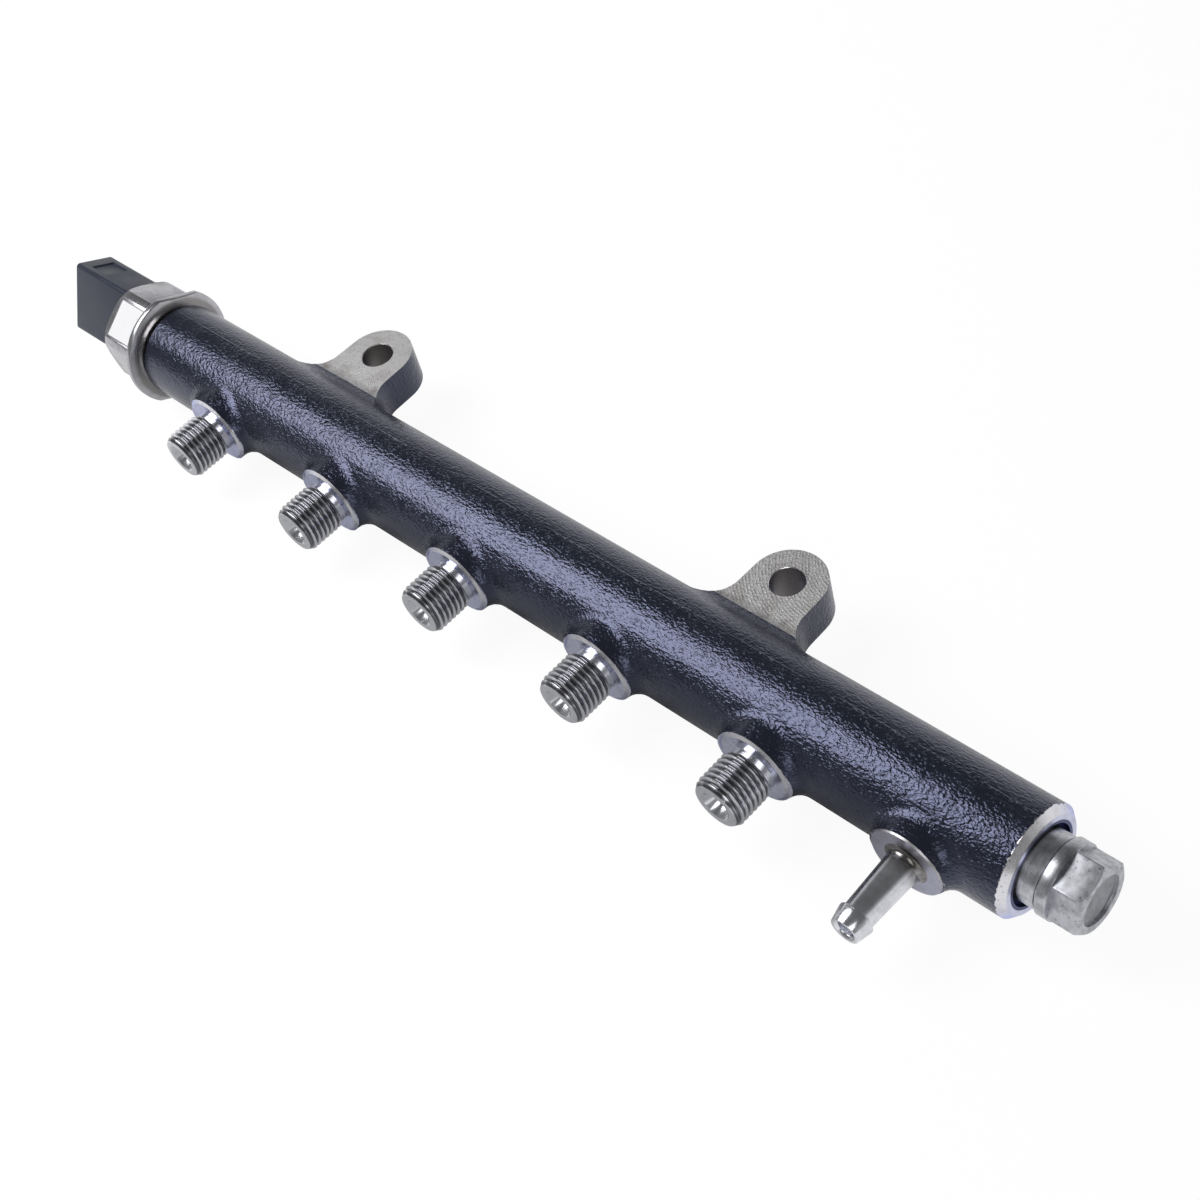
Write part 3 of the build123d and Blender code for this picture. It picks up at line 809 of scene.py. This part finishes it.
def make_stub_material():
    """Turned outlet stubs; painted shade, with some oil, darkens the thread's roots."""
    steel = TurnedSteel("turned_outlets", OUTWARDS, (0.8, 0.81, 0.86, 1), rough=(0.12, 0.22),
                        repeat=OUTLET_PITCH, film_share=0.25)
    tree = steel.tree
    # Painted shade: the thread's roots darken towards the bottom of the groove, standing for shadow there and
    # some oil.
    deep = tree.span(steel.radius, STUB_R - 0.3 * MM, STUB_R - 0.75 * MM, smooth=True)
    threaded = tree.times(tree.above(steel.along, 18.0 * MM), tree.above(steel.radius, 6.05 * MM))
    steel.lay_stain_and_shade(tree.times(deep, threaded, 0.85), (0.08, 0.08, 0.095, 1))
    return steel.material


def make_nipple_material():
    """Turned nipple with dark heat tint at its brazed root."""
    steel = TurnedSteel("brazed_nipple", OUTWARDS, (0.8, 0.81, 0.86, 1), rough=(0.14, 0.26),
                        axis_point=(NIPPLE_X, 0, 0))
    tree = steel.tree
    root = tree.span(steel.along, 21.5 * MM, 17.2 * MM, smooth=True)
    cloud = tree.patches(steel.vector, 2.5 * MM, 0.3, 0.6)
    steel.lay_stain_and_shade(tree.times(root, tree.span(cloud, 0.0, 1.0, 0.7, 1.0)), (0.13, 0.12, 0.11, 1))
    return steel.material


def make_valve_material():
    """Turned and brushed valve head."""
    steel = TurnedSteel("valve_steel", X_AXIS, (0.58, 0.59, 0.63, 1), film_share=0.9)
    tree = steel.tree
    brushed = tree.noise(tree.vector("MULTIPLY", steel.vector, (1500, 9000, 9000)))[0]
    head = tree.above(steel.along, VALVE_HEX_X)
    tree.dress(steel.shader, None, tree.blend(head, tree.span(steel.marks, 0.3, 0.7, 0.24, 0.38),
                                              tree.span(brushed, 0.3, 0.7, 0.34, 0.52)))
    dings = tree.nicks(steel.vector, 1.3 * MM, 0.2)
    steel.lay_stain_and_shade(tree.times(dings, head, 0.75), (0.14, 0.14, 0.15, 1))
    # Painted shade: the floor of the dimple in the valve's end face is darkened.
    recess_shade = tree.times(tree.below(steel.radius, 6.1 * MM),
                        tree.above(steel.along, VALVE_HIGH.x - 1.2 * MM), 0.6)
    steel.lay_stain_and_shade(recess_shade, (0.16, 0.16, 0.18, 1))
    return steel.material


def make_sensor_material():
    """Satin plated sensor body; painted shade darkens its shoulder towards the rail to a dull brown."""
    steel = TurnedSteel("sensor_steel", X_AXIS, (0.5, 0.5, 0.53, 1), rough=(0.2, 0.3))
    # Painted shade: from the disc's face towards the rail onwards, the body is darkened brown, standing for
    # the dark reflection and the shadow in the gap.
    shoulder_shade = steel.tree.span(steel.along, SENSOR_LOW.x + 17.6 * MM, SENSOR_LOW.x + 17.9 * MM)
    steel.lay_stain_and_shade(steel.tree.times(shoulder_shade, 0.7), (0.2, 0.185, 0.175, 1))
    return steel.material


def make_label_material():
    """Bare white plate with a faint speckle, and a painted shadow line round its edge."""
    material, tree, shader = new_material("label_plate", finish().label)
    vector = tree.place()
    grain = tree.patches(vector, 0.4 * MM, 0.35, 0.75)
    smudge = tree.patches(vector, 5 * MM, 0.5, 0.8)
    plate = tree.tint(tree.plus(tree.times(grain, 0.1), tree.times(smudge, 0.12)), finish().label,
                      (0.6, 0.58, 0.58, 1))
    shape = bpy.context.scene.rail_shape
    across = tree.number("DOT_PRODUCT", vector, (0, math.sin(LABEL_TURN), -math.cos(LABEL_TURN)))
    along = tree.minus(tree.parts(vector)[0], LABEL_END - shape.label_length / 2)
    # Painted shadow: a dark line along the plate's edge.
    rim = tree.largest(*(tree.above(tree.math("ABSOLUTE", off), size / 2 - 0.3 * MM)
                         for off, size in ((across, shape.label_width), (along, shape.label_length))))
    tree.dress(shader, tree.tint(rim, plate, (0.2, 0.2, 0.22, 1)), tree.span(grain, 0.0, 1.0, 0.32, 0.42),
               tree.times(grain, 0.003 * MM))
    return material


def make_moulded_plastic(name, colour, spark, rough=(0.34, 0.44)):
    """Moulded plastic: spark-eroded grain and handling marks."""
    material, tree, shader = new_material(name, colour, Specular_Tint=(0.72, 0.8, 1.0, 1))
    vector = tree.place()
    grain = tree.noise(tree.scale(vector, 1 / spark), 1.0, 3.0)[0]
    worn = tree.patches(vector, 7 * MM, 0.4, 0.75)
    paler = tuple(min(1, channel * 1.7) for channel in colour[:3]) + (1,)
    tree.dress(shader, tree.tint(tree.times(worn, 0.5), colour, paler),
               tree.span(worn, 0.0, 1.0, *rough), tree.times(grain, 0.012 * MM))
    return material


def make_spring_material():
    """Drawn wire with a blued film."""
    wire = (0.3, 0.3, 0.33, 1)
    material, tree, shader = new_material("spring_wire", wire, Metallic=1.0)
    vector = tree.place()
    film = tree.patches(vector, 1.5 * MM, 0.35, 0.7)
    streaks = tree.noise(tree.scale(vector, 9000.0), 1.0, 3.0)[0]
    tree.dress(shader, tree.tint(film, wire, (0.2, 0.17, 0.2, 1)),
               tree.span(streaks, 0.3, 0.7, 0.22, 0.4))
    return material


def make_board_material():
    """Green lacquered board with copper tracks."""
    lacquer = (0.03, 0.17, 0.07, 1)
    material, tree, shader = new_material("circuit_board", lacquer, Coat_Weight=0.4)
    vector = tree.place()
    rows = tree.math("PINGPONG", tree.times(tree.parts(vector)[1], 500.0), 1.0)
    tracks = tree.times(tree.above(rows, 0.78), tree.patches(vector, 2.5 * MM, 0.5, 0.53))
    weave = tree.noise(tree.scale(vector, 5000.0))[0]
    tree.dress(shader, tree.tint(tracks, lacquer, (0.09, 0.3, 0.12, 1)),
               tree.span(weave, 0.3, 0.7, 0.3, 0.42), tree.times(tracks, 0.035 * MM))
    return material


# Operators


class RAIL_OT_forging(bpy.types.Operator):
    """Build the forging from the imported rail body, without its threaded stubs"""

    bl_idname = "fuel_rail.forging"
    bl_label = "Forging"
    bl_options = {"REGISTER", "UNDO"}

    def execute(self, context):
        piece = copy_of_node("rail_body", "rail_forging")
        self.open_outlets(piece)
        self.close_outlets(piece)
        self.copy_shading(piece.data, frame["nodes"]["rail_body"].data)
        hand_over(piece, "rail", "coated_steel", make_forging_material(), "rail_body")
        return {"FINISHED"}

    def open_outlets(self, piece):
        """Take off all that stands beyond the boss faces at the outlets."""
        reach = STUB_R + 0.2 * MM
        mode("EDIT")
        mesh = bmesh.from_edit_mesh(piece.data)
        bpy.ops.mesh.select_mode(type="VERT")
        select_all("DESELECT")
        for vert in mesh.verts:
            near = min(abs(vert.co.x - x) for x in OUTLET_XS) < reach
            vert.select_set(near and vert.co.y < BOSS_FACE_Y - 0.02 * MM)
        bmesh.update_edit_mesh(piece.data)
        bpy.ops.mesh.delete(type="VERT")
        mode("OBJECT")

    def close_outlets(self, piece):
        """Draw each boss face in to its drilling and lead that down to the main bore."""
        bore_share = 0.246
        mode("EDIT")
        for x in OUTLET_XS:
            def near(edge):
                middle = (edge.verts[0].co + edge.verts[1].co) / 2
                return edge.is_boundary and abs(middle.x - x) < STUB_R + MM

            def at_face(edge):
                return near(edge) and all(abs(vert.co.y - BOSS_FACE_Y) < 0.05 * MM for vert in edge.verts)

            select_edges(piece, at_face)
            bpy.ops.mesh.extrude_edges_move()
            bpy.ops.transform.resize(value=(bore_share, 1, bore_share),
                                     center_override=(x, BOSS_FACE_Y, 0))
            select_edges(piece, near)
            bpy.ops.mesh.bridge_edge_loops()
        mode("OBJECT")

    def copy_shading(self, mesh, source):
        """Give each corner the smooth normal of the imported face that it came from."""
        centres = KDTree(len(source.polygons))
        for polygon in source.polygons:
            centres.insert(polygon.center, polygon.index)
        centres.balance()
        normals = []
        for polygon in mesh.polygons:
            _, index, distance = centres.find(polygon.center)
            for vertex in polygon.vertices:
                if distance > 0.005 * MM:
                    normals.append(polygon.normal)
                else:
                    normals.append(self.source_normal(source, index, mesh.vertices[vertex].co))
        mesh.normals_split_custom_set(normals)

    def source_normal(self, source, index, place):
        """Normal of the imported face's corner that lies nearest to a place."""
        loops = source.polygons[index].loop_indices
        nearest = min(loops, key=lambda loop: (
            source.vertices[source.loops[loop].vertex_index].co - place).length)
        return source.corner_normals[nearest].vector


class RAIL_OT_outlet_stubs(bpy.types.Operator):
    """Turn one threaded outlet stub and set a copy on each boss"""

    bl_idname = "fuel_rail.outlet_stubs"
    bl_label = "Outlet Stubs"
    bl_options = {"REGISTER", "UNDO"}

    def execute(self, context):
        shape = context.scene.rail_shape
        first = self.turn_stub(shape)
        boolean(first, self.thread_tool(shape))
        soften(first)
        material = make_stub_material()
        for number, x in enumerate(OUTLET_XS, 1):
            stub = copy_beside(first, f"outlet_stub_{number}", (x, 0, 0))
            hand_over(stub, "rail", "bright_steel", material, "rail_body")
        bpy.data.objects.remove(first, do_unlink=True)
        return {"FINISHED"}

    def turn_stub(self, shape):
        """Stub with its run-out, chamfer, sealing cone and drilling."""
        face, tip = 16.4 * MM, -RAIL_LOW.y
        profile = from_mm(face, [(-0.3, 1.52), (-0.3, 6.1), (1.6, 6.1)])
        profile += [(face + 2.5 * MM, STUB_R), (tip - 1.75 * MM, STUB_R)]
        profile += from_mm(tip, [(0, 5.9), (0, 4.2), (-3.81, 2.0)])
        profile += from_mm(face, [(2.59, 2.0), (2.59, 1.52)])
        stub = turn_profile("stub_blank", profile, shape.turn_steps, along=OUTWARDS)
        round_edges(stub, shape.edge_round)
        return stub

    def groove_side(self, shape, crest_round=0.15 * MM, root_round=0.28 * MM):
        """One side of the 60 degree groove, from outside the crest down to its round root."""
        root_r = STUB_R - shape.thread_depth
        crest_middle = shape.thread_pitch / 2 - 0.09 * MM + crest_round * math.tan(math.radians(30))
        side = []
        for turn in map(math.radians, (20, 40, 60)):
            side.append((crest_middle - crest_round * math.sin(turn),
                         STUB_R - crest_round * (1 - math.cos(turn))))
        for turn in map(math.radians, (60, 36, 12)):
            side.append((root_round * math.sin(turn), root_r + root_round * (1 - math.cos(turn))))
        return [(side[0][0], STUB_R + 0.1 * MM)] + side

    def thread_tool(self, shape):
        """Helical groove tool."""
        start, turns = 17.35 * MM, 9
        side = self.groove_side(shape)
        corners = [(start - across, radius) for across, radius in side]
        corners += [(start + across, radius) for across, radius in reversed(side)]
        tool = draw_outline("thread_tool", [Vector((0, -along, radius)) for along, radius in corners])
        bpy.ops.mesh.remove_doubles(threshold=WELD_THREAD)
        mode("OBJECT")
        apply_modifier(tool, "SCREW", axis="Y", angle=math.tau, screw_offset=-shape.thread_pitch,
                       iterations=turns, steps=shape.turn_steps, render_steps=shape.turn_steps,
                       use_merge_vertices=True, merge_threshold=WELD_THREAD)
        edit_all()
        bpy.ops.mesh.fill_holes(sides=len(corners))
        mode("OBJECT")
        weld(tool, WELD_THREAD)
        return tool


class RAIL_OT_valve(bpy.types.Operator):
    """Turn the pressure-limiting valve and cut its hexagon"""

    bl_idname = "fuel_rail.valve"
    bl_label = "Pressure-limiting Valve"
    bl_options = {"REGISTER", "UNDO"}

    def execute(self, context):
        shape = context.scene.rail_shape
        collar_x = VALVE_HEX_X - 2.8 * MM
        profile = from_mm(VALVE_LOW.x, [
            (0, 4.6), (0, 6.4), (10.5, 6.4), (10.5, 7.52), (12.1, 7.52), (12.1, 6.0), (14.4, 6.0),
            (14.4, 7.52), (17.1, 7.52), (18.3, 8.95), (26.1, 8.95), (26.1, 8.85)])
        profile += from_mm(collar_x - 0.6 * MM, [(0, 8.85), (0, 8.4)])
        profile += from_mm(collar_x, [(0, 8.4), (0, 9.4)])
        profile += from_mm(VALVE_HEX_X, [(0, 9.4), (0, 0)])
        profile += from_mm(VALVE_LOW.x, [(31.3, 0), (31.3, 3.5), (5.5, 3.5), (5.5, 4.6)])
        body = turn_profile("valve_turned", profile, shape.turn_steps)
        round_edges(body, shape.edge_round)
        profile = from_mm(VALVE_HEX_X, [(-0.3, 0), (-0.3, 9.18)])
        profile += from_mm(VALVE_HIGH.x, [(-0.9, 9.18), (0, 7.85), (0, 6.35), (-0.15, 6.2), (-0.9, 6.2),
                                          (-0.9, 0)])
        head = turn_profile("valve_hexagon", profile, shape.turn_steps)
        cut_flats(head, 8.0 * MM, hexagon(14), width=0.12 * MM, degrees=20)
        piece = join_pieces([body, head], "valve_body_turned")
        soften(piece)
        hand_over(piece, "rail", "bright_steel", make_valve_material(), "valve_body")
        return {"FINISHED"}


class RAIL_OT_nipple(bpy.types.Operator):
    """Turn the barbed return nipple with its brazed root"""

    bl_idname = "fuel_rail.nipple"
    bl_label = "Return Nipple"
    bl_options = {"REGISTER", "UNDO"}

    def execute(self, context):
        face, fillet, stem_r = 16.3 * MM, 1.5 * MM, 4.3 * MM
        profile = from_mm(face, [(-4.6, 2.2), (-4.6, 3.19), (0, 3.19)])
        for degrees in range(90, -1, -15):
            turn = math.radians(degrees)
            profile.append((face + fillet * (1 - math.sin(turn)), stem_r + fillet * (1 - math.cos(turn))))
        profile += from_mm(0, [(32.6, 3.75), (32.85, 4.45), (33.1, 4.45)])
        profile += from_mm(-NIPPLE_LOW.y, [(0, 3.6), (0, 2.8), (-0.6, 2.2)])
        piece = turn_profile("return_nipple_turned", profile, context.scene.rail_shape.turn_steps,
                             Vector((NIPPLE_X, 0, 0)), OUTWARDS)
        round_edges(piece, 0.1 * MM)
        soften(piece)
        hand_over(piece, "rail", "bright_steel", make_nipple_material(), "return_nipple")
        return {"FINISHED"}


class RAIL_OT_sensor(bpy.types.Operator):
    """Turn the sensor's steel body, cut its flats and lay its bare label on it"""

    bl_idname = "fuel_rail.sensor"
    bl_label = "Pressure Sensor"
    bl_options = {"REGISTER", "UNDO"}

    def execute(self, context):
        shape = context.scene.rail_shape
        end, seat = SENSOR_LOW.x, SENSOR_HIGH.x
        disc_x = SENSOR_HEX_X + 1.7 * MM
        profile = from_mm(SENSOR_HEX_X, [(0, 0.9), (0, 17.2)]) + from_mm(disc_x, [(0, 17.2)])
        profile += from_mm(disc_x + 0.9 * MM, [(0, 14.6), (0, 8.95)])
        profile += from_mm(seat, [(-2.2, 8.95), (0, 6.5), (0, 0.9)])
        disc = turn_profile("sensor_disc", profile, shape.turn_steps)
        cut_flats(disc, 15.9 * MM, (65, 245), width=0.3 * MM, degrees=28, segments=3)
        profile = from_mm(SENSOR_HEX_X, [(0.4, 0.9), (0.4, 15.0)])
        profile += from_mm(end, [(1.4, 15.0), (0.5, 14.3), (0, 13.5), (0, 10.9), (1.0, 10.9), (1.0, 11.6)])
        profile += from_mm(SENSOR_FLOOR_X, [(0, 11.6), (0, 0.9)])
        cup = turn_profile("sensor_cup", profile, shape.turn_steps)
        cut_flats(cup, CUP_FLAT, hexagon(35), width=0.18 * MM, degrees=20)
        piece = join_pieces([disc, cup], "sensor_body_turned")
        soften(piece)
        hand_over(piece, "rail", "bright_steel", make_sensor_material(), "sensor_housing")
        self.lay_label(shape)
        return {"FINISHED"}

    def lay_label(self, shape):
        """Thin bare plate with round corners on the flat that faces up and forward."""
        deselect_all()
        bpy.ops.mesh.primitive_plane_add(size=1)
        label = named("sensor_label")
        label.scale = (shape.label_length, shape.label_width, 1)
        apply_transform(location=False, rotation=False)
        edit_all()
        bpy.ops.mesh.bevel(offset=1.1 * MM, segments=6, affect="VERTICES")
        select_all()
        bpy.ops.mesh.inset(thickness=0.25 * MM, depth=0)
        mode("OBJECT")
        apply_modifier(label, "SOLIDIFY", thickness=0.16 * MM, offset=1.0)
        round_edges(label, 0.05 * MM, degrees=40)
        across = Vector((0, math.sin(LABEL_TURN), -math.cos(LABEL_TURN)))
        normal = Vector((0, math.cos(LABEL_TURN), math.sin(LABEL_TURN)))
        middle = Vector((LABEL_END - shape.label_length / 2, 0, 0)) + normal * (CUP_FLAT - 0.02 * MM)
        put_in_place(label, from_columns(X_AXIS, across, normal, middle))
        weld(label)
        soften(label, 30)
        hand_over(label, "rail", "board_plastic", make_label_material())


class RAIL_OT_connector(bpy.types.Operator):
    """Shape the plug housing with its socket, keys, latch pocket and clamped flange"""

    bl_idname = "fuel_rail.connector"
    bl_label = "Plug Connector"
    bl_options = {"REGISTER", "UNDO"}

    def execute(self, context):
        back_x = SENSOR_LOW.x - 0.3 * MM
        length, width, height = back_x - PLUG_LOW.x, 12.86 * MM, 21.26 * MM
        shell = add_block("plug_housing", (length, width, height))
        self.round_housing(shell, length)
        self.sink_socket(shell, length, width, height)
        self.sink_latch(shell, length, height)
        place = Matrix.Translation(((back_x + PLUG_LOW.x) / 2, 0.98 * MM, 0.45 * MM))
        put_in_place(shell, place @ Matrix.Rotation(PLUG_TURN, 4, "X"))
        flange = self.turn_flange(context.scene.rail_shape, back_x)
        piece = join_pieces([shell, flange], "plug_housing")
        soften(piece, 30)
        material = make_moulded_plastic("plug_plastic", finish().plastic, 0.25 * MM)
        hand_over(piece, "rail", "connector_plastic", material, "connector_shell")
        return {"FINISHED"}

    def round_housing(self, shell, length):
        """Round the long edges, then break the edge of the open end."""
        def open_rim(edge):
            return all(vert.co.x < -length / 2 + 0.01 * MM for vert in edge.verts)

        bevel_edges(shell, runs_along, 1.2 * MM, 6)
        bevel_edges(shell, open_rim, 0.4 * MM, 3)

    def sink_socket(self, shell, length, width, height):
        """Cut the plug's socket and leave its two keys."""
        wall, depth = 1.45 * MM, 15.0 * MM
        middle = -length / 2 + depth / 2
        tool = add_block("socket_tool", (depth + MM, width - 2 * wall, height - 2 * wall),
                         (middle - 0.5 * MM, 0, 0))
        bevel_edges(tool, runs_along, 0.8 * MM, 4)
        boolean(shell, tool)
        for side in (-1, 1):
            place = (middle + 0.4 * MM, -(width / 2 - wall - 0.4 * MM), side * (height - 2 * wall) / 4)
            boolean(shell, add_block("socket_key", (depth, 0.8 * MM, 1.6 * MM), place), "UNION")

    def sink_latch(self, shell, length, height):
        """Cut the latch pocket into the upper side."""
        tool = add_block("latch_tool", (7.5 * MM, 7.6 * MM, 0.8 * MM),
                         (-length / 2 + 8.25 * MM, 0, height / 2))
        edit_all()
        bpy.ops.mesh.bevel(offset=0.25 * MM, segments=3, affect="EDGES")
        mode("OBJECT")
        boolean(shell, tool)

    def turn_flange(self, shape, back_x):
        """Round flange under the sensor's crimped rim, with its seal groove."""
        flange_x = SENSOR_FLOOR_X - 7.6 * MM
        lip_x = SENSOR_LOW.x + 1.0 * MM
        groove = (flange_x + lip_x) / 2
        profile = from_mm(flange_x, [(0, 0), (0, 11.5)])
        profile += from_mm(groove, [(1, 11.5), (1, 9.9), (-1, 9.9), (-1, 11.5)])
        profile += from_mm(lip_x, [(0, 11.5), (0, 10.8)]) + from_mm(back_x, [(-0.2, 10.8), (-0.2, 0)])
        return turn_profile("plug_flange", profile, shape.turn_steps)


class RAIL_OT_inner_parts(bpy.types.Operator):
    """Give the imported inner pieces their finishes"""

    bl_idname = "fuel_rail.inner_parts"
    bl_label = "Inner Parts"
    bl_options = {"REGISTER", "UNDO"}

    def execute(self, context):
        steel = TurnedSteel("ground_steel", X_AXIS, (0.5, 0.5, 0.51, 1), rough=(0.1, 0.2)).material
        sleeves = TurnedSteel("throttle_steel", OUTWARDS, (0.42, 0.41, 0.4, 1),
                              repeat=OUTLET_PITCH).material
        contact = TurnedSteel("tinned_contact", (0, 0, 1), (0.72, 0.68, 0.55, 1),
                              rough=(0.22, 0.36)).material
        rubber = make_moulded_plastic("seal_rubber", (0.02, 0.02, 0.021, 1), 0.1 * MM, (0.55, 0.7))
        support = make_moulded_plastic("board_plastic", (0.6, 0.56, 0.46, 1), 0.2 * MM, (0.45, 0.6))
        for material, names in (
                (steel, ("valve_seat", "valve_piston", "spring_shim", "sensor_element")),
                (sleeves, ("port_restrictors",)),
                (rubber, ("valve_seal_ring", "connector_seal")),
                (support, ("board_support",)),
                (make_board_material(), ("sensor_board",)),
                (contact, [f"{kind}_{number}" for kind in ("contact_pin", "terminal")
                           for number in (1, 2, 3)])):
            for name in names:
                for slot in frame["nodes"][name].material_slots:
                    slot.material = material
        self.close_up_spring()
        return {"FINISHED"}

    def close_up_spring(self):
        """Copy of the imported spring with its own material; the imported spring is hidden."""
        spring = copy_of_node("valve_spring", "valve_spring_coils")
        soften(spring, 40)
        set_material(spring, make_spring_material())
        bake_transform(spring)
        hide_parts("valve_spring")


class RAIL_OT_studio(bpy.types.Operator):
    """Set the floor, the lamps, the surroundings and the camera"""

    bl_idname = "fuel_rail.studio"
    bl_label = "Studio"
    bl_options = {"REGISTER", "UNDO"}

    def execute(self, context):
        studio = context.scene.rail_studio
        context.scene.view_settings.view_transform = "Standard"
        self.lay_floor()
        self.hang_lamp("softbox", (-0.43, -0.24, 0.564), (-0.43, 0, 0), (0.7, 0.46), studio.softbox)
        self.hang_lamp("side_lamp", (0.5, -0.42, 0.42), (0.05, 0, 0), (0.5, 0.3), studio.side)
        self.paint_world(studio)
        self.set_camera(studio)
        return {"FINISHED"}

    def lay_floor(self):
        """Pale floor that keeps the object's shadow."""
        deselect_all()
        bpy.ops.mesh.primitive_grid_add(x_subdivisions=4, y_subdivisions=4, size=12,
                                        location=(0, 0, CAD_BOX[0][2]))
        floor = named("floor")
        apply_transform()
        material, tree, shader = new_material("floor_paper", grey(0.5), Roughness=0.9,
                                              Specular_IOR_Level=0.1)
        rays = tree.add("ShaderNodeLightPath").outputs
        mirrored = tree.largest(rays["Is Glossy Ray"], rays["Is Transmission Ray"])
        # Painted shadow: in reflections the floor glows only behind and beside the rail, so near the rail it
        # looks shaded in the metal.
        x, y = tree.parts(tree.place())[:2]
        behind = tree.span(y, 0.0, 0.05, smooth=True)
        beside = tree.largest(tree.span(x, 0.12, 0.15, smooth=True), tree.span(x, -0.1, -0.17, smooth=True))
        glow_outside_painted_shadow = tree.times(tree.largest(behind, beside), 0.6)
        seen = tree.largest(tree.times(rays["Is Camera Ray"], 0.8), tree.times(mirrored, glow_outside_painted_shadow))
        glow = tree.add("ShaderNodeEmission", {"Color": grey(1), "Strength": 1.16})
        mixed = tree.add("ShaderNodeMixShader", {0: seen, 1: shader.outputs[0], 2: glow.outputs[0]})
        tree.feed(material.node_tree.nodes["Material Output"].inputs["Surface"], mixed.outputs[0])
        floor.data.materials.append(material)

    def hang_lamp(self, name, place, target, size, power):
        """Rectangular lamp that points at a target."""
        lamp = bpy.data.lights.new(name, "AREA")
        lamp.shape = "RECTANGLE"
        lamp.size, lamp.size_y = size
        lamp.energy = power
        holder = add_object(name, lamp)
        holder.location = place
        aim = Vector(target) - Vector(place)
        holder.rotation_euler = aim.to_track_quat("-Z", "Y").to_euler()

    def paint_world(self, studio):
        """Studio that is bright behind the rail, darker in front and darkest above."""
        world = bpy.data.worlds.new("studio")
        bpy.context.scene.world = world
        world.use_nodes = True
        tree = Tree(world.node_tree)
        parts = tree.parts(tree.add("ShaderNodeTexCoord").outputs["Generated"])
        around = tree.span(parts[1], -0.3, 0.4, studio.front, studio.back, smooth=True)
        level = tree.blend(tree.span(parts[2], 0.0, 0.6, smooth=True), around, studio.zenith)
        rays = tree.add("ShaderNodeLightPath").outputs
        background = world.node_tree.nodes["Background"]
        background.inputs["Color"].default_value = grey(1)
        tree.feed(background.inputs["Strength"], tree.blend(rays["Is Camera Ray"], level, 1.0))

    def set_camera(self, studio):
        """Camera at the photograph's angle, turned about its line of sight."""
        lens = bpy.data.cameras.new("camera")
        lens.lens = studio.lens
        lens.sensor_width = 36
        lens.clip_start = 0.01
        lens.clip_end = 50
        camera = add_object("camera", lens)
        place = Matrix.Translation(studio.camera_place)
        for turn, axis in ((studio.azimuth, "Z"), (math.pi / 2 - studio.elevation, "X"), (studio.roll, "Z")):
            place = place @ Matrix.Rotation(turn, 4, axis)
        camera.matrix_world = place
        bpy.context.scene.camera = camera


# Panel and registration


class RAIL_PT_sidebar(bpy.types.Panel):
    """Lists the steps of the fuel rail"""

    bl_idname = "RAIL_PT_sidebar"
    bl_label = "Fuel Rail"
    bl_space_type = "VIEW_3D"
    bl_region_type = "UI"
    bl_category = "Fuel Rail"

    def draw(self, context):
        layout = self.layout
        for group in (context.scene.rail_shape, context.scene.rail_finish, context.scene.rail_studio):
            box = layout.box()
            for name in group.__annotations__:
                box.prop(group, name)
        for step in STEPS:
            layout.operator(step.bl_idname)


SETTINGS = (("rail_shape", RailShape), ("rail_finish", RailFinish), ("rail_studio", RailStudio))
STEPS = (RAIL_OT_forging, RAIL_OT_outlet_stubs, RAIL_OT_valve, RAIL_OT_nipple, RAIL_OT_sensor,
         RAIL_OT_connector, RAIL_OT_inner_parts, RAIL_OT_studio)


def register():
    for name, group in SETTINGS:
        bpy.utils.register_class(group)
        setattr(bpy.types.Scene, name, PointerProperty(type=group))
    for step in STEPS:
        bpy.utils.register_class(step)
    bpy.utils.register_class(RAIL_PT_sidebar)


def unregister():
    bpy.utils.unregister_class(RAIL_PT_sidebar)
    for step in reversed(STEPS):
        bpy.utils.unregister_class(step)
    for name, group in reversed(SETTINGS):
        delattr(bpy.types.Scene, name)
        bpy.utils.unregister_class(group)


def main():
    register()
    build_groups()
    bpy.ops.fuel_rail.forging()
    bpy.ops.fuel_rail.outlet_stubs()
    bpy.ops.fuel_rail.valve()
    bpy.ops.fuel_rail.nipple()
    bpy.ops.fuel_rail.sensor()
    bpy.ops.fuel_rail.connector()
    bpy.ops.fuel_rail.inner_parts()
    bpy.ops.fuel_rail.studio()


if __name__ == "__main__":
    main()
